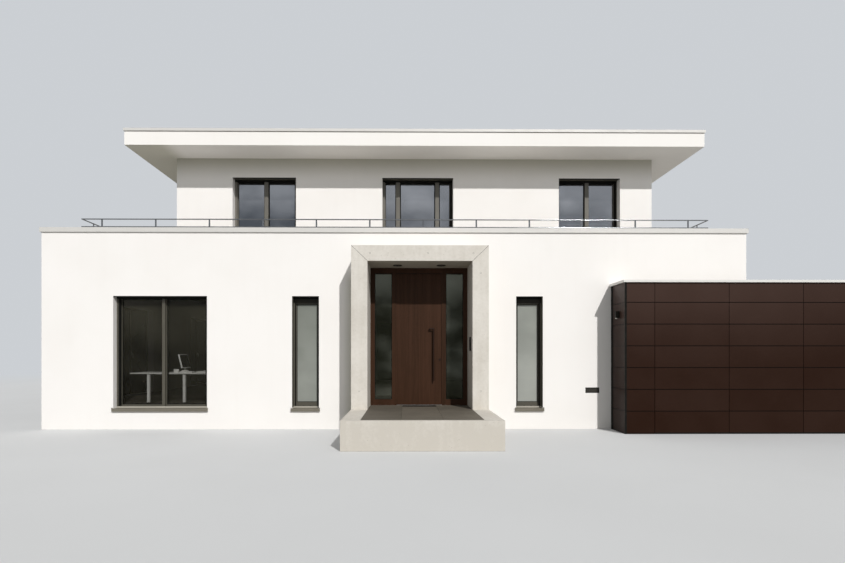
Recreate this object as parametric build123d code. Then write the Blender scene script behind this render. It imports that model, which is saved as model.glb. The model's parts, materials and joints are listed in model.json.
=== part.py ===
from build123d import *
import os
from dataclasses import dataclass

# A flat-roofed detached house: a white ground storey that carries a terrace, a smaller
# upper storey under a wide flat roof, a concrete portal at the entrance and a double garage.
# X runs to the right along the street front, Y into the house and Z up from the lowest
# ground. The origin lies under the middle of the ground storey. All sizes are in mm.

# Ground storey
main_width = 14455
main_depth = 11000
wall = 420
floor_level = 485
room_height = 2800
slab = 200
parapet_height = 533
coping_height = 107
coping_overhang = 30
drip_height = 12
drip_overhang = 6
paving = 40

# Upper storey
upper_left_setback = 1952
upper_right_setback = 1105
upper_front_setback = 1965
upper_back_setback = 1965
upper_wall = 400
upper_room_height = 2730

# Roof
roof_overhang = 880
roof_side_overhang = 815
fascia_height = 293
shadow_gap = 20
shadow_gap_inset = 30
trim_height = 60
trim_proud = 20
trim_width = 160

# Windows
ground_head_above_floor = 2242
upper_window_height = 2279
ground_window_bottom = 428
study_window_from_left = 2408
study_window_width = 1908
study_mullion_offset = 12
slim_window_centre = 445
slim_window_spacing = 2299
slim_window_width = 550
ground_reveal = 140
upper_reveal = 200
upper_left_window_centre = -3192
upper_left_window_width = 1514
upper_middle_window_centre = 485
upper_middle_window_width = 1705
upper_middle_centre_light = 860
upper_right_window_centre = 4619
upper_right_window_width = 1476
side_window_centre = 2300
rear_window_spacing = 4800
study_jamb = 72
study_mullion = 64
study_head = 24
study_bottom = 52
study_sash = 14
slim_jamb = 44
slim_head = 132
slim_bottom = 98
slim_sash = 18
upper_jamb = 56
upper_mullion = 92
upper_head = 46
upper_bottom = 80
upper_sash = 14
guide_rail_depth = 45
frame_depth = 75
sash_setback = 12
glass_thickness = 36
glass_setback = 26
sill_thickness = 60
sill_nose = 40
sill_side_reach = 18

# Entrance portal and porch
portal_centre = 473
portal_inner_width = 2004
portal_inner_height = 2832
pier_width = 310
lintel_height = 297
portal_reach = 840
porch_reach = 2620
porch_front_curb = 100
porch_paving = 40
downlight_spacing = 435
downlight_forward = 290
downlight_radius = 90
downlight_rim = 14
downlight_height = 10
downlight_lens = 5
intercom_width = 125
intercom_height = 270
intercom_thickness = 22
intercom_level = 1255
intercom_setback = 330
intercom_edge = 4
intercom_button_radius = 12
intercom_button_proud = 4
intercom_button_drop = 80
intercom_lens_radius = 20
intercom_lens_rise = 70
grille_width = 690
grille_reach = 340
grille_thickness = 22
grille_frame = 9
grille_slot = 12
grille_bar = 9

# Door set
door_setback = 78
door_frame_depth = 90
door_jamb = 88
door_post = 90
sidelight_width = 357
door_head = 110
sidelight_sill = 120
sidelight_glass_thickness = 40
stop_lip_thickness = 15
stop_lip_overlap = 12
leaf_face_gap = 5
leaf_side_gap = 9
leaf_bottom_gap = 10
leaf_top_gap = 9

# Door hinges
hinge_axis_proud = 12
hinge_pin_radius = 6
hinge_bore_clearance = 0.05
hinge_barrel_radius = 11
hinge_barrel_height = 42
hinge_barrel_gap = 0.5
hinge_plate_width = 46
hinge_plate_thickness = 4
hinge_bottom_level = 250
hinge_top_level = 2480

# Door fittings
pull_bar_radius = 15
pull_bar_length = 1090
pull_bar_bottom = 500
pull_bar_from_edge = 177
pull_bar_standoff = 62
pull_bar_return = 80
pull_bar_post_radius = 9
pull_bar_post_rise = 40
lock_level = 940
lock_from_edge = 47
rosette_radius = 26
rosette_thickness = 8
cylinder_radius = 9
cylinder_proud = 14
lever_level = 1040
lever_from_edge = 65
lever_neck = 48
lever_radius = 9
lever_length = 125

# Garage
garage_overlap = 2800
garage_reach = 740
garage_depth = 6300
garage_pier = 577
garage_columns = 4
garage_column = 1443.5
garage_rows = 5
garage_bottom_row = 440
garage_row = 420
garage_cladding_top = 2926
garage_cladding = 50
garage_wall = 240
garage_roof = 250
garage_floor_thickness = 50
garage_coping_height = 46
garage_coping_overhang = 37
garage_coping_width = 330
garage_door_gap = 5
panel_groove = 10
panel_groove_depth = 12
inner_upstand = 200

# Railing on the terrace
railing_inset = 520
railing_height = 906
railing_lower_height = 730
railing_bar = 24
railing_post = 32
railing_post_depth = 12
railing_posts = 12
railing_side_posts = 9
railing_first_post = 440

# Outside lights
path_light_from_garage = 388
path_light_width = 286
path_light_bottom = 740
path_light_height = 113
path_light_depth = 70
path_light_rim = 10
path_light_recess = 18
garage_lamp_forward = 430
garage_lamp_level = 2322
garage_lamp_width = 60
garage_lamp_height = 135
garage_lamp_depth = 75
garage_lamp_plate = 10
garage_lamp_plate_margin = 8

# Desk behind the study window
desk_height = 650
desk_top_thickness = 22
desk_length = 2060
desk_depth = 800
desk_left = 1500
desk_from_wall = 180
desk_column = 55
desk_first_column = 382
desk_column_spacing = 767
desk_column_setback = 25
desk_foot_length = 560
desk_foot_width = 70
desk_foot_height = 14
desk_beam_width = 60
desk_beam_height = 30

# Levels and faces that follow from the sizes above
left = -main_width / 2
right = main_width / 2
front = -main_depth / 2
back = main_depth / 2
inner_right = right - wall
inner_front = front + wall
inner_back = back - wall
slab_under = floor_level + room_height
slab_top = slab_under + slab
wall_top = slab_top + parapet_height
deck = slab_top + paving
upper_left = left + upper_left_setback
upper_right = right - upper_right_setback
upper_front = front + upper_front_setback
upper_back = back - upper_back_setback
soffit = slab_top + upper_room_height
roof_top = soffit + fascia_height + shadow_gap
portal_left = portal_centre - portal_inner_width / 2 - pier_width
portal_right = portal_centre + portal_inner_width / 2 + pier_width
portal_soffit = floor_level + portal_inner_height
portal_top = portal_soffit + lintel_height
door_front = front + door_setback
door_back = door_front + door_frame_depth
leaf_front = door_front + stop_lip_thickness + leaf_face_gap
door_reach = portal_inner_width / 2 - door_jamb - sidelight_width - door_post
leaf_half = door_reach + stop_lip_overlap
bay_half = leaf_half + leaf_side_gap
bay_top = portal_soffit - door_head
leaf_left = portal_centre - leaf_half
leaf_right = portal_centre + leaf_half
leaf_bottom = floor_level + leaf_bottom_gap
leaf_top = bay_top + stop_lip_overlap - leaf_top_gap
hinge_x = leaf_left - leaf_side_gap / 2
hinge_y = door_back + hinge_axis_proud
study_window_centre = left + study_window_from_left
garage_left = right - garage_overlap
garage_front = front - garage_reach
garage_back = garage_front + garage_depth
garage_right = garage_left + 2 * garage_pier + garage_columns * garage_column
garage_box_left = garage_left + garage_cladding
garage_box_right = garage_right - garage_cladding
garage_box_front = garage_front + garage_cladding
garage_door_left = garage_left + garage_pier
garage_door_right = garage_right - garage_pier
garage_door_top = garage_bottom_row + (garage_rows - 1) * garage_row
garage_ceiling = garage_cladding_top - garage_roof
unit_depth = guide_rail_depth + frame_depth
railing_top = deck + railing_height
railing_lower = deck + railing_lower_height
hinge_levels = (
    hinge_bottom_level,
    (hinge_bottom_level + hinge_top_level) / 2,
    hinge_top_level,
)
path_light_centre = garage_left - path_light_from_garage


def block(x, y, z):
    """Give the box between two limits along each axis."""
    limits = (x, y, z)
    centre = [(low + high) / 2 for low, high in limits]
    return Pos(*centre) * Box(*[high - low for low, high in limits])


def around(centre, width):
    """Give the two limits of a width about its middle."""
    return (centre - width / 2, centre + width / 2)


def rod(radius, start, end):
    """Give a round rod between two points."""
    way = Vector(*end) - Vector(*start)
    return extrude(Plane(start, z_dir=way) * Circle(radius), way.length)


def ring(x, y, z, width):
    """Give a flat rectangular ring with the given outer limits."""
    hole = block((x[0] + width, x[1] - width), (y[0] + width, y[1] - width), z)
    return block(x, y, z) - hole


def grown(limits, amount):
    """Give two limits moved outwards by an amount."""
    return (limits[0] - amount, limits[1] + amount)


# Each face's own frame: x along the wall, y inwards from its outer face
faces = {
    "front": Pos(0, front, 0),
    "left": Pos(left, 0, 0) * Rot(0, 0, -90),
    "right": Pos(right, 0, 0) * Rot(0, 0, 90),
    "back": Pos(0, back, 0) * Rot(0, 0, 180),
    "upper_front": Pos(0, upper_front, 0),
    "upper_left": Pos(upper_left, 0, 0) * Rot(0, 0, -90),
    "upper_right": Pos(upper_right, 0, 0) * Rot(0, 0, 90),
    "upper_back": Pos(0, upper_back, 0) * Rot(0, 0, 180),
}


@dataclass
class Style:
    """The widths of a window's bars, seen from the front."""

    jamb: float
    mullion: float
    head: float
    bottom: float
    sash: float


study_style = Style(study_jamb, study_mullion, study_head, study_bottom, study_sash)
slim_style = Style(slim_jamb, study_mullion, slim_head, slim_bottom, slim_sash)
upper_style = Style(upper_jamb, upper_mullion, upper_head, upper_bottom, upper_sash)


@dataclass
class Window:
    """One window, placed along the outer face of its wall."""

    face: str
    centre: float
    width: float
    style: Style
    mullions: tuple = ()

    @property
    def upper(self):
        """Tell whether the window is in the upper storey."""
        return self.face.startswith("upper")

    @property
    def reveal(self):
        """Give the depth from the wall's face to the window's front."""
        return upper_reveal if self.upper else ground_reveal

    @property
    def bottom(self):
        """Give the level that the frame stands on."""
        return slab_top if self.upper else ground_window_bottom

    @property
    def top(self):
        """Give the level of the window's head."""
        if self.upper:
            return slab_top + upper_window_height
        return floor_level + ground_head_above_floor

    def lights(self):
        """Give the limits along the wall of each pane."""
        low, high = around(self.centre, self.width)
        edges = [low + self.style.jamb]
        for offset in self.mullions:
            edges += around(self.centre + offset, self.style.mullion)
        edges.append(high - self.style.jamb)
        return list(zip(edges[::2], edges[1::2]))

    def clear_height(self):
        """Give the levels between the bottom bar and the head."""
        return (self.bottom + self.style.bottom, self.top - self.style.head)

    def hole(self, thickness):
        """Give what the wall loses for this window."""
        along = around(self.centre, self.width)
        inside = self.reveal + unit_depth
        outer_bottom = self.bottom if self.upper else self.bottom - sill_thickness
        inner_bottom = self.bottom if self.upper else floor_level
        outer = block(along, (0, inside), (outer_bottom, self.top))
        return outer + block(along, (inside, thickness), (inner_bottom, self.top))

    def frame(self):
        """Give the frame with its guide rails, head and sashes as one solid."""
        unit = block(
            around(self.centre, self.width),
            (self.reveal, self.reveal + unit_depth),
            (self.bottom, self.top),
        )
        height = self.clear_height()
        sash_front = self.reveal + guide_rail_depth + sash_setback
        for light in self.lights():
            unit -= block(light, (self.reveal, sash_front), height)
            unit -= block(
                light,
                (self.reveal, self.reveal + guide_rail_depth),
                (self.bottom, height[0]),
            )
            unit -= block(
                grown(light, -self.style.sash),
                (sash_front, self.reveal + unit_depth),
                grown(height, -self.style.sash),
            )
        return faces[self.face] * unit

    def glass(self):
        """Give the panes, one for each light."""
        start = self.reveal + guide_rail_depth + glass_setback
        depth = (start, start + glass_thickness)
        height = grown(self.clear_height(), -self.style.sash)
        return [
            faces[self.face] * block(grown(light, -self.style.sash), depth, height)
            for light in self.lights()
        ]

    def sill(self):
        """Give the sill plate with its nose in front of the wall."""
        level = (self.bottom - sill_thickness, self.bottom)
        along = around(self.centre, self.width)
        plate = block(along, (0, self.reveal + unit_depth), level)
        nose = block(grown(along, sill_side_reach), (-sill_nose, 0), level)
        return faces[self.face] * (plate + nose)


middle_mullion = upper_middle_centre_light / 2 + upper_mullion / 2
study_window = Window(
    "front", study_window_centre, study_window_width, study_style, (study_mullion_offset,)
)
slim_windows = [
    Window(
        "front", slim_window_centre + side * slim_window_spacing, slim_window_width, slim_style
    )
    for side in (-1, 1)
]
upper_windows = [
    Window(
        "upper_front", upper_left_window_centre, upper_left_window_width, upper_style, (0,)
    ),
    Window(
        "upper_front",
        upper_middle_window_centre,
        upper_middle_window_width,
        upper_style,
        (-middle_mullion, middle_mullion),
    ),
    Window(
        "upper_front", upper_right_window_centre, upper_right_window_width, upper_style, (0,)
    ),
]
left_windows = [
    Window("left", side * side_window_centre, study_window_width, study_style, (0,))
    for side in (-1, 1)
]
right_window = Window(
    "right", (garage_back + inner_back) / 2, study_window_width, study_style, (0,)
)
upper_side_windows = [
    Window(face, 0, upper_right_window_width, upper_style, (0,))
    for face in ("upper_left", "upper_right")
]
rear_windows = [
    Window("back", place * rear_window_spacing, study_window_width, study_style, (0,))
    for place in (-1, 0, 1)
]
upper_rear_windows = [
    Window("upper_back", -window.centre, window.width, window.style, window.mullions)
    for window in upper_windows
]
side_windows = left_windows + [right_window] + upper_side_windows
all_rear_windows = rear_windows + upper_rear_windows
sill_windows = [study_window] + slim_windows + left_windows + [right_window] + rear_windows


def wall_panel(face, along, thickness, level, windows=()):
    """Give a stretch of wall with its windows cut through."""
    panel = block(along, (0, thickness), level)
    for window in windows:
        panel -= window.hole(thickness)
    return faces[face] * panel


def upright_prism(points, depth):
    """Give an outline in the plane of the front, run back through a depth."""
    outline = Polyline(*[(x, depth[0], z) for x, z in points], close=True)
    return extrude(make_face(outline), depth[1] - depth[0], dir=(0, 1, 0))


def path_light_box():
    """Give the pocket in the front wall that the path light fills."""
    return block(
        around(path_light_centre, path_light_width),
        (front, front + path_light_depth),
        (path_light_bottom, path_light_bottom + path_light_height),
    )


def ground_slab():
    """Give the floor of the ground storey, cut out round the garage."""
    floor = block((left + wall, inner_right), (inner_front, inner_back), (0, floor_level))
    return floor - block(
        (garage_box_left, inner_right), (inner_front, garage_back), (0, floor_level)
    )


def wall_over_garage():
    """Give the main walls above the garage roof and the upstand inside them."""
    base = garage_cladding_top
    outer = block((garage_box_left, right), (front, inner_front), (base, wall_top))
    outer += block((inner_right, right), (inner_front, garage_back), (base, wall_top))
    level = (base, slab_under)
    side = block(
        (garage_box_left, garage_box_left + inner_upstand), (inner_front, garage_back), level
    )
    rear = block(
        (garage_box_left, inner_right), (garage_back - inner_upstand, garage_back), level
    )
    return outer + side + rear


def parapet_coping():
    """Give the metal coping round the terrace, with the dark drip below it."""
    x, y = (left, right), (front, back)
    drip = ring(
        grown(x, drip_overhang),
        grown(y, drip_overhang),
        (wall_top, wall_top + drip_height),
        wall + 2 * drip_overhang,
    )
    cap = ring(
        grown(x, coping_overhang),
        grown(y, coping_overhang),
        (wall_top + drip_height, wall_top + coping_height),
        wall + 2 * coping_overhang,
    )
    return drip + cap


def terrace_paving():
    """Give the paving between the parapet and the upper storey."""
    level = (slab_top, deck)
    paved = block((left + wall, inner_right), (inner_front, inner_back), level)
    return paved - block((upper_left, upper_right), (upper_front, upper_back), level)


def roof_slab():
    """Give the overhanging roof with the shadow gap under its trim."""
    x = grown((upper_left, upper_right), roof_side_overhang)
    y = grown((upper_front, upper_back), roof_overhang)
    body = block(x, y, (soffit, soffit + fascia_height))
    gap = block(
        grown(x, -shadow_gap_inset),
        grown(y, -shadow_gap_inset),
        (soffit + fascia_height, roof_top),
    )
    return body + gap


def roof_edge_trim():
    """Give the metal edge trim that stands on the roof."""
    x = grown((upper_left, upper_right), roof_side_overhang + trim_proud)
    y = grown((upper_front, upper_back), roof_overhang + trim_proud)
    return ring(x, y, (roof_top, roof_top + trim_height), trim_width)


def railing(along, count):
    """Give a straight railing, from one end to the other, with evenly spaced posts."""
    depth = around(railing_inset, railing_bar)
    rails = [
        block(along, depth, around(level, railing_bar))
        for level in (railing_top - railing_bar / 2, railing_lower)
    ]
    first, last = along[0] + railing_first_post, along[1] - railing_first_post
    pitch = (last - first) / (count - 1)
    posts = [
        block(
            around(first + number * pitch, railing_post),
            around(railing_inset, railing_post_depth),
            (deck, railing_top - railing_bar / 2),
        )
        for number in range(count)
    ]
    return rails[0] + [rails[1]] + posts


def portal_pieces():
    """Give the two piers and the lintel, mitred at the corners."""
    depth = (front - portal_reach, inner_front)
    inner_left, inner_end = portal_left + pier_width, portal_right - pier_width
    left_pier = [
        (portal_left, floor_level),
        (inner_left, floor_level),
        (inner_left, portal_soffit),
        (portal_left, portal_top),
    ]
    right_pier = [
        (portal_right, floor_level),
        (portal_right, portal_top),
        (inner_end, portal_soffit),
        (inner_end, floor_level),
    ]
    lintel = [
        (portal_left, portal_top),
        (inner_left, portal_soffit),
        (inner_end, portal_soffit),
        (portal_right, portal_top),
    ]
    return [upright_prism(points, depth) for points in (left_pier, right_pier, lintel)]


def porch_recess():
    """Give the space in the plinth that the porch paving fills."""
    return block(
        (portal_left + pier_width, portal_right - pier_width),
        (front - porch_reach + porch_front_curb, door_front),
        (floor_level - porch_paving, floor_level),
    )


def porch_plinth():
    """Give the concrete plinth under the portal and the porch."""
    body = block(
        (portal_left, portal_right), (front - porch_reach, inner_front), (0, floor_level)
    )
    return body - porch_recess()


def grille_box():
    """Give the space that the foot grille fills in the porch paving."""
    return block(
        around(portal_centre, grille_width),
        (door_front - grille_reach, door_front),
        (floor_level - grille_thickness, floor_level),
    )


def foot_grille():
    """Give the grille in front of the door, a frame with bars across it."""
    grille = grille_box()
    place = door_front - grille_reach + grille_frame
    while place + grille_slot <= door_front - grille_frame:
        grille -= block(
            grown(around(portal_centre, grille_width), -grille_frame),
            (place, place + grille_slot),
            (floor_level - grille_thickness, floor_level),
        )
        place += grille_slot + grille_bar
    return grille


def study_desk():
    """Give the desk behind the study window: a top on three columns with feet."""
    first = left + desk_left
    y = (inner_front + desk_from_wall, inner_front + desk_from_wall + desk_depth)
    middle = (y[0] + y[1]) / 2
    column_y = (y[0] + desk_column_setback, y[0] + desk_column_setback + desk_column)
    foot_y = (column_y[0], column_y[0] + desk_foot_length)
    top = floor_level + desk_height
    under = top - desk_top_thickness
    desk = block((first, first + desk_length), y, (under, top))
    columns = [first + desk_first_column + n * desk_column_spacing for n in range(3)]
    desk += block(
        (columns[0], columns[-1]),
        around(middle, desk_beam_width),
        (under - desk_beam_height, under),
    )
    for x in columns:
        desk += block(
            around(x, desk_column), column_y, (floor_level, under)
        )
        desk += block(
            around(x, desk_foot_width),
            foot_y,
            (floor_level, floor_level + desk_foot_height),
        )
    return desk


def downlight(x):
    """Give one round downlight with its rim standing round the lens."""
    y = front - downlight_forward
    plate = rod(downlight_radius, (x, y, portal_soffit), (x, y, portal_soffit - downlight_height))
    lens = rod(
        downlight_radius - downlight_rim,
        (x, y, portal_soffit - downlight_lens),
        (x, y, portal_soffit - downlight_height),
    )
    return plate - lens


def intercom_plate():
    """Give the intercom on the inner side of the right pier."""
    wall_face = portal_right - pier_width
    y = front - portal_reach + intercom_setback
    z = floor_level + intercom_level
    face = wall_face - intercom_thickness
    plate = block((face, wall_face), around(y, intercom_width), around(z, intercom_height))
    plate = chamfer(plate.edges().filter_by(Axis.X), intercom_edge)
    button = rod(
        intercom_button_radius,
        (face, y, z - intercom_button_drop),
        (face - intercom_button_proud, y, z - intercom_button_drop),
    )
    lens = rod(
        intercom_lens_radius,
        (face, y, z + intercom_lens_rise),
        (face - intercom_button_proud, y, z + intercom_lens_rise),
    )
    return plate + button + lens


def door_frame():
    """Give the frame of the door and its two sidelights, with the stop lips."""
    half = portal_inner_width / 2
    depth = (door_front, door_back)
    frame = block(around(portal_centre, portal_inner_width), depth, (floor_level, portal_soffit))
    for side in (-1, 1):
        middle = portal_centre + side * (half - door_jamb - sidelight_width / 2)
        height = (floor_level + sidelight_sill, bay_top)
        frame -= block(around(middle, sidelight_width), depth, height)
    frame -= block(around(portal_centre, 2 * door_reach), depth, (floor_level, bay_top))
    behind_lip = (door_front + stop_lip_thickness, door_back)
    return frame - block(
        around(portal_centre, 2 * bay_half), behind_lip, (floor_level, bay_top + stop_lip_overlap)
    )


def sidelight(side):
    """Give the glass beside the door on one side."""
    half = portal_inner_width / 2
    middle = portal_centre + side * (half - door_jamb - sidelight_width / 2)
    return block(
        around(middle, sidelight_width),
        around((door_front + door_back) / 2, sidelight_glass_thickness),
        (floor_level + sidelight_sill, bay_top),
    )


def door_leaf():
    """Give the door's leaf."""
    return block((leaf_left, leaf_right), (leaf_front, door_back), (leaf_bottom, leaf_top))


def hinge_pin(level):
    """Give a hinge's half on the post: the lower barrel, its pin and its plate."""
    z = floor_level + level
    top = z + hinge_barrel_height
    barrel = rod(hinge_barrel_radius, (hinge_x, hinge_y, z), (hinge_x, hinge_y, top))
    pin_top = top + hinge_barrel_gap + hinge_barrel_height
    pin = rod(hinge_pin_radius, (hinge_x, hinge_y, top), (hinge_x, hinge_y, pin_top))
    post_edge = portal_centre - bay_half
    plate = block(
        (post_edge - hinge_plate_width, post_edge),
        (door_back, door_back + hinge_plate_thickness),
        (z, top),
    )
    return barrel + pin + plate


def hinge_knuckle(level):
    """Give a hinge's half on the leaf: the upper barrel with its bore and its plate."""
    z = floor_level + level + hinge_barrel_height + hinge_barrel_gap
    top = z + hinge_barrel_height
    barrel = rod(hinge_barrel_radius, (hinge_x, hinge_y, z), (hinge_x, hinge_y, top))
    plate = block(
        (leaf_left, leaf_left + hinge_plate_width),
        (door_back, door_back + hinge_plate_thickness),
        (z, top),
    )
    bore = rod(
        hinge_pin_radius + hinge_bore_clearance, (hinge_x, hinge_y, z), (hinge_x, hinge_y, top)
    )
    return barrel + plate - bore


def pull_bar():
    """Give the long pull bar, with a return at its top and a stand-off at each end."""
    x = leaf_right - pull_bar_from_edge
    y = leaf_front - pull_bar_standoff
    low = floor_level + pull_bar_bottom
    top = low + pull_bar_length - pull_bar_radius
    end = x - pull_bar_return
    bar = rod(pull_bar_radius, (x, y, low), (x, y, top))
    bar += Pos(x, y, top) * Sphere(pull_bar_radius)
    bar += rod(pull_bar_radius, (x, y, top), (end, y, top))
    bar += Pos(end, y, top) * Sphere(pull_bar_radius)
    bar += rod(pull_bar_radius, (end, y, top), (end, leaf_front, top))
    post = low + pull_bar_post_rise
    return bar + rod(pull_bar_post_radius, (x, y, post), (x, leaf_front, post))


def lock_rosette():
    """Give the lock's rosette and cylinder on the outside."""
    x, z = leaf_right - lock_from_edge, floor_level + lock_level
    rosette = rod(rosette_radius, (x, leaf_front, z), (x, leaf_front - rosette_thickness, z))
    return rosette + rod(cylinder_radius, (x, leaf_front, z), (x, leaf_front - cylinder_proud, z))


def inner_lever():
    """Give the lever handle on the room side."""
    x, z = leaf_right - lever_from_edge, floor_level + lever_level
    rosette = rod(rosette_radius, (x, door_back, z), (x, door_back + rosette_thickness, z))
    neck = rod(lever_radius, (x, door_back, z), (x, door_back + lever_neck, z))
    y = door_back + lever_neck - lever_radius
    lever = rod(lever_radius, (x + lever_radius, y, z), (x - lever_length, y, z))
    return rosette + neck + lever


def panel_joints():
    """Give the levels of the joints between the garage's rows of panels."""
    level = garage_bottom_row
    while level < garage_cladding_top - garage_row / 2:
        yield level
        level += garage_row


def column_joints():
    """Give the places of the upright joints across the garage front."""
    return [garage_door_left + n * garage_column for n in range(garage_columns + 1)]


def grooved_front(panel):
    """Cut the joints between panels into a piece of the garage front."""
    depth = (garage_front, garage_front + panel_groove_depth)
    across = (garage_left, garage_right)
    for level in panel_joints():
        panel -= block(across, depth, around(level, panel_groove))
    for x in column_joints():
        panel -= block(around(x, panel_groove), depth, (0, garage_cladding_top))
    return panel


def garage_front_cladding():
    """Give the cladding of the garage front, round the door."""
    depth = (garage_front, garage_box_front)
    sheet = block((garage_left, garage_right), depth, (0, garage_cladding_top))
    return grooved_front(
        sheet - block((garage_door_left, garage_door_right), depth, (0, garage_door_top))
    )


def garage_door():
    """Give the sectional door, flush with the cladding."""
    across = grown((garage_door_left, garage_door_right), -garage_door_gap)
    depth = (garage_front, garage_box_front)
    return grooved_front(block(across, depth, (0, garage_door_top - garage_door_gap)))


def garage_side_cladding():
    """Give the cladding on the garage's left return and on its right side."""
    level = (0, garage_cladding_top)
    depth = (garage_box_front, front)
    return_side = block((garage_left, garage_box_left), depth, level)
    long_side = block((garage_box_right, garage_right), (garage_box_front, garage_back), level)
    for joint in panel_joints():
        groove = around(joint, panel_groove)
        return_side -= block((garage_left, garage_left + panel_groove_depth), depth, groove)
        long_side -= block(
            (garage_right - panel_groove_depth, garage_right),
            (garage_box_front, garage_back),
            groove,
        )
    place = garage_front + garage_column
    while place < garage_back - garage_column / 2:
        long_side -= block(
            (garage_right - panel_groove_depth, garage_right), around(place, panel_groove), level
        )
        place += garage_column
    return Compound([return_side, long_side])


def garage_side_wall(outer, direction):
    """Give one side wall of the garage with its front pier."""
    door_edge = garage_door_left if direction > 0 else garage_door_right
    inner = outer + direction * garage_wall
    level = (0, garage_ceiling)
    side = block(sorted((outer, inner)), (garage_box_front, garage_back - garage_wall), level)
    pier_depth = (garage_box_front, garage_box_front + garage_wall)
    return side + block(sorted((inner, door_edge)), pier_depth, level)


def garage_roof_slab():
    """Give the garage roof with the beam over the door."""
    across = (garage_box_left, garage_box_right)
    roof = block(across, (garage_box_front, garage_back), (garage_ceiling, garage_cladding_top))
    beam_depth = (garage_box_front, garage_box_front + garage_wall)
    beam_level = (garage_door_top + garage_door_gap, garage_ceiling)
    return roof + block((garage_door_left, garage_door_right), beam_depth, beam_level)


def garage_floor():
    """Give the garage floor, out to the back of the door."""
    level = (0, garage_floor_thickness)
    room = block(
        (garage_box_left + garage_wall, garage_box_right - garage_wall),
        (garage_box_front + garage_wall, garage_back - garage_wall),
        level,
    )
    doorway = (garage_box_front, garage_box_front + garage_wall)
    return room + block((garage_door_left, garage_door_right), doorway, level)


def garage_coping():
    """Give the coping on the open sides of the garage roof."""
    level = (garage_cladding_top, garage_cladding_top + garage_coping_height)
    low_x, high_x = grown((garage_left, garage_right), garage_coping_overhang)
    low_y, high_y = garage_front - garage_coping_overhang, garage_back + garage_coping_overhang
    width = garage_coping_width + garage_coping_overhang
    front_strip = block((low_x, high_x), (low_y, low_y + width), level)
    left_strip = block((low_x, low_x + width), (low_y, front), level)
    right_strip = block((high_x - width, high_x), (low_y, high_y), level)
    rear_strip = block((right, high_x), (high_y - width, high_y), level)
    return front_strip + left_strip + right_strip + rear_strip


def path_light():
    """Give the light let into the front wall, with a rim round its lens."""
    recess = block(
        around(path_light_centre, path_light_width - 2 * path_light_rim),
        (front, front + path_light_recess),
        (
            path_light_bottom + path_light_rim,
            path_light_bottom + path_light_height - path_light_rim,
        ),
    )
    return path_light_box() - recess


def garage_lamp():
    """Give the small lamp on the garage's left return."""
    y = around(front - garage_lamp_forward, garage_lamp_width)
    z = around(garage_lamp_level, garage_lamp_height)
    plate = block(
        (garage_left - garage_lamp_plate, garage_left),
        grown(y, -garage_lamp_plate_margin),
        grown(z, -garage_lamp_plate_margin),
    )
    return plate + block(
        (garage_left - garage_lamp_depth, garage_left - garage_lamp_plate), y, z
    )


left_pier, right_pier, lintel = portal_pieces()
full_height = (0, wall_top)
upper_height = (slab_top, soffit)
front_rail = grown((left + railing_inset, right - railing_inset), railing_bar / 2)
side_rail = grown((front + railing_inset, back - railing_inset), -railing_bar / 2)
left_side_window, right_side_window = upper_side_windows

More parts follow.
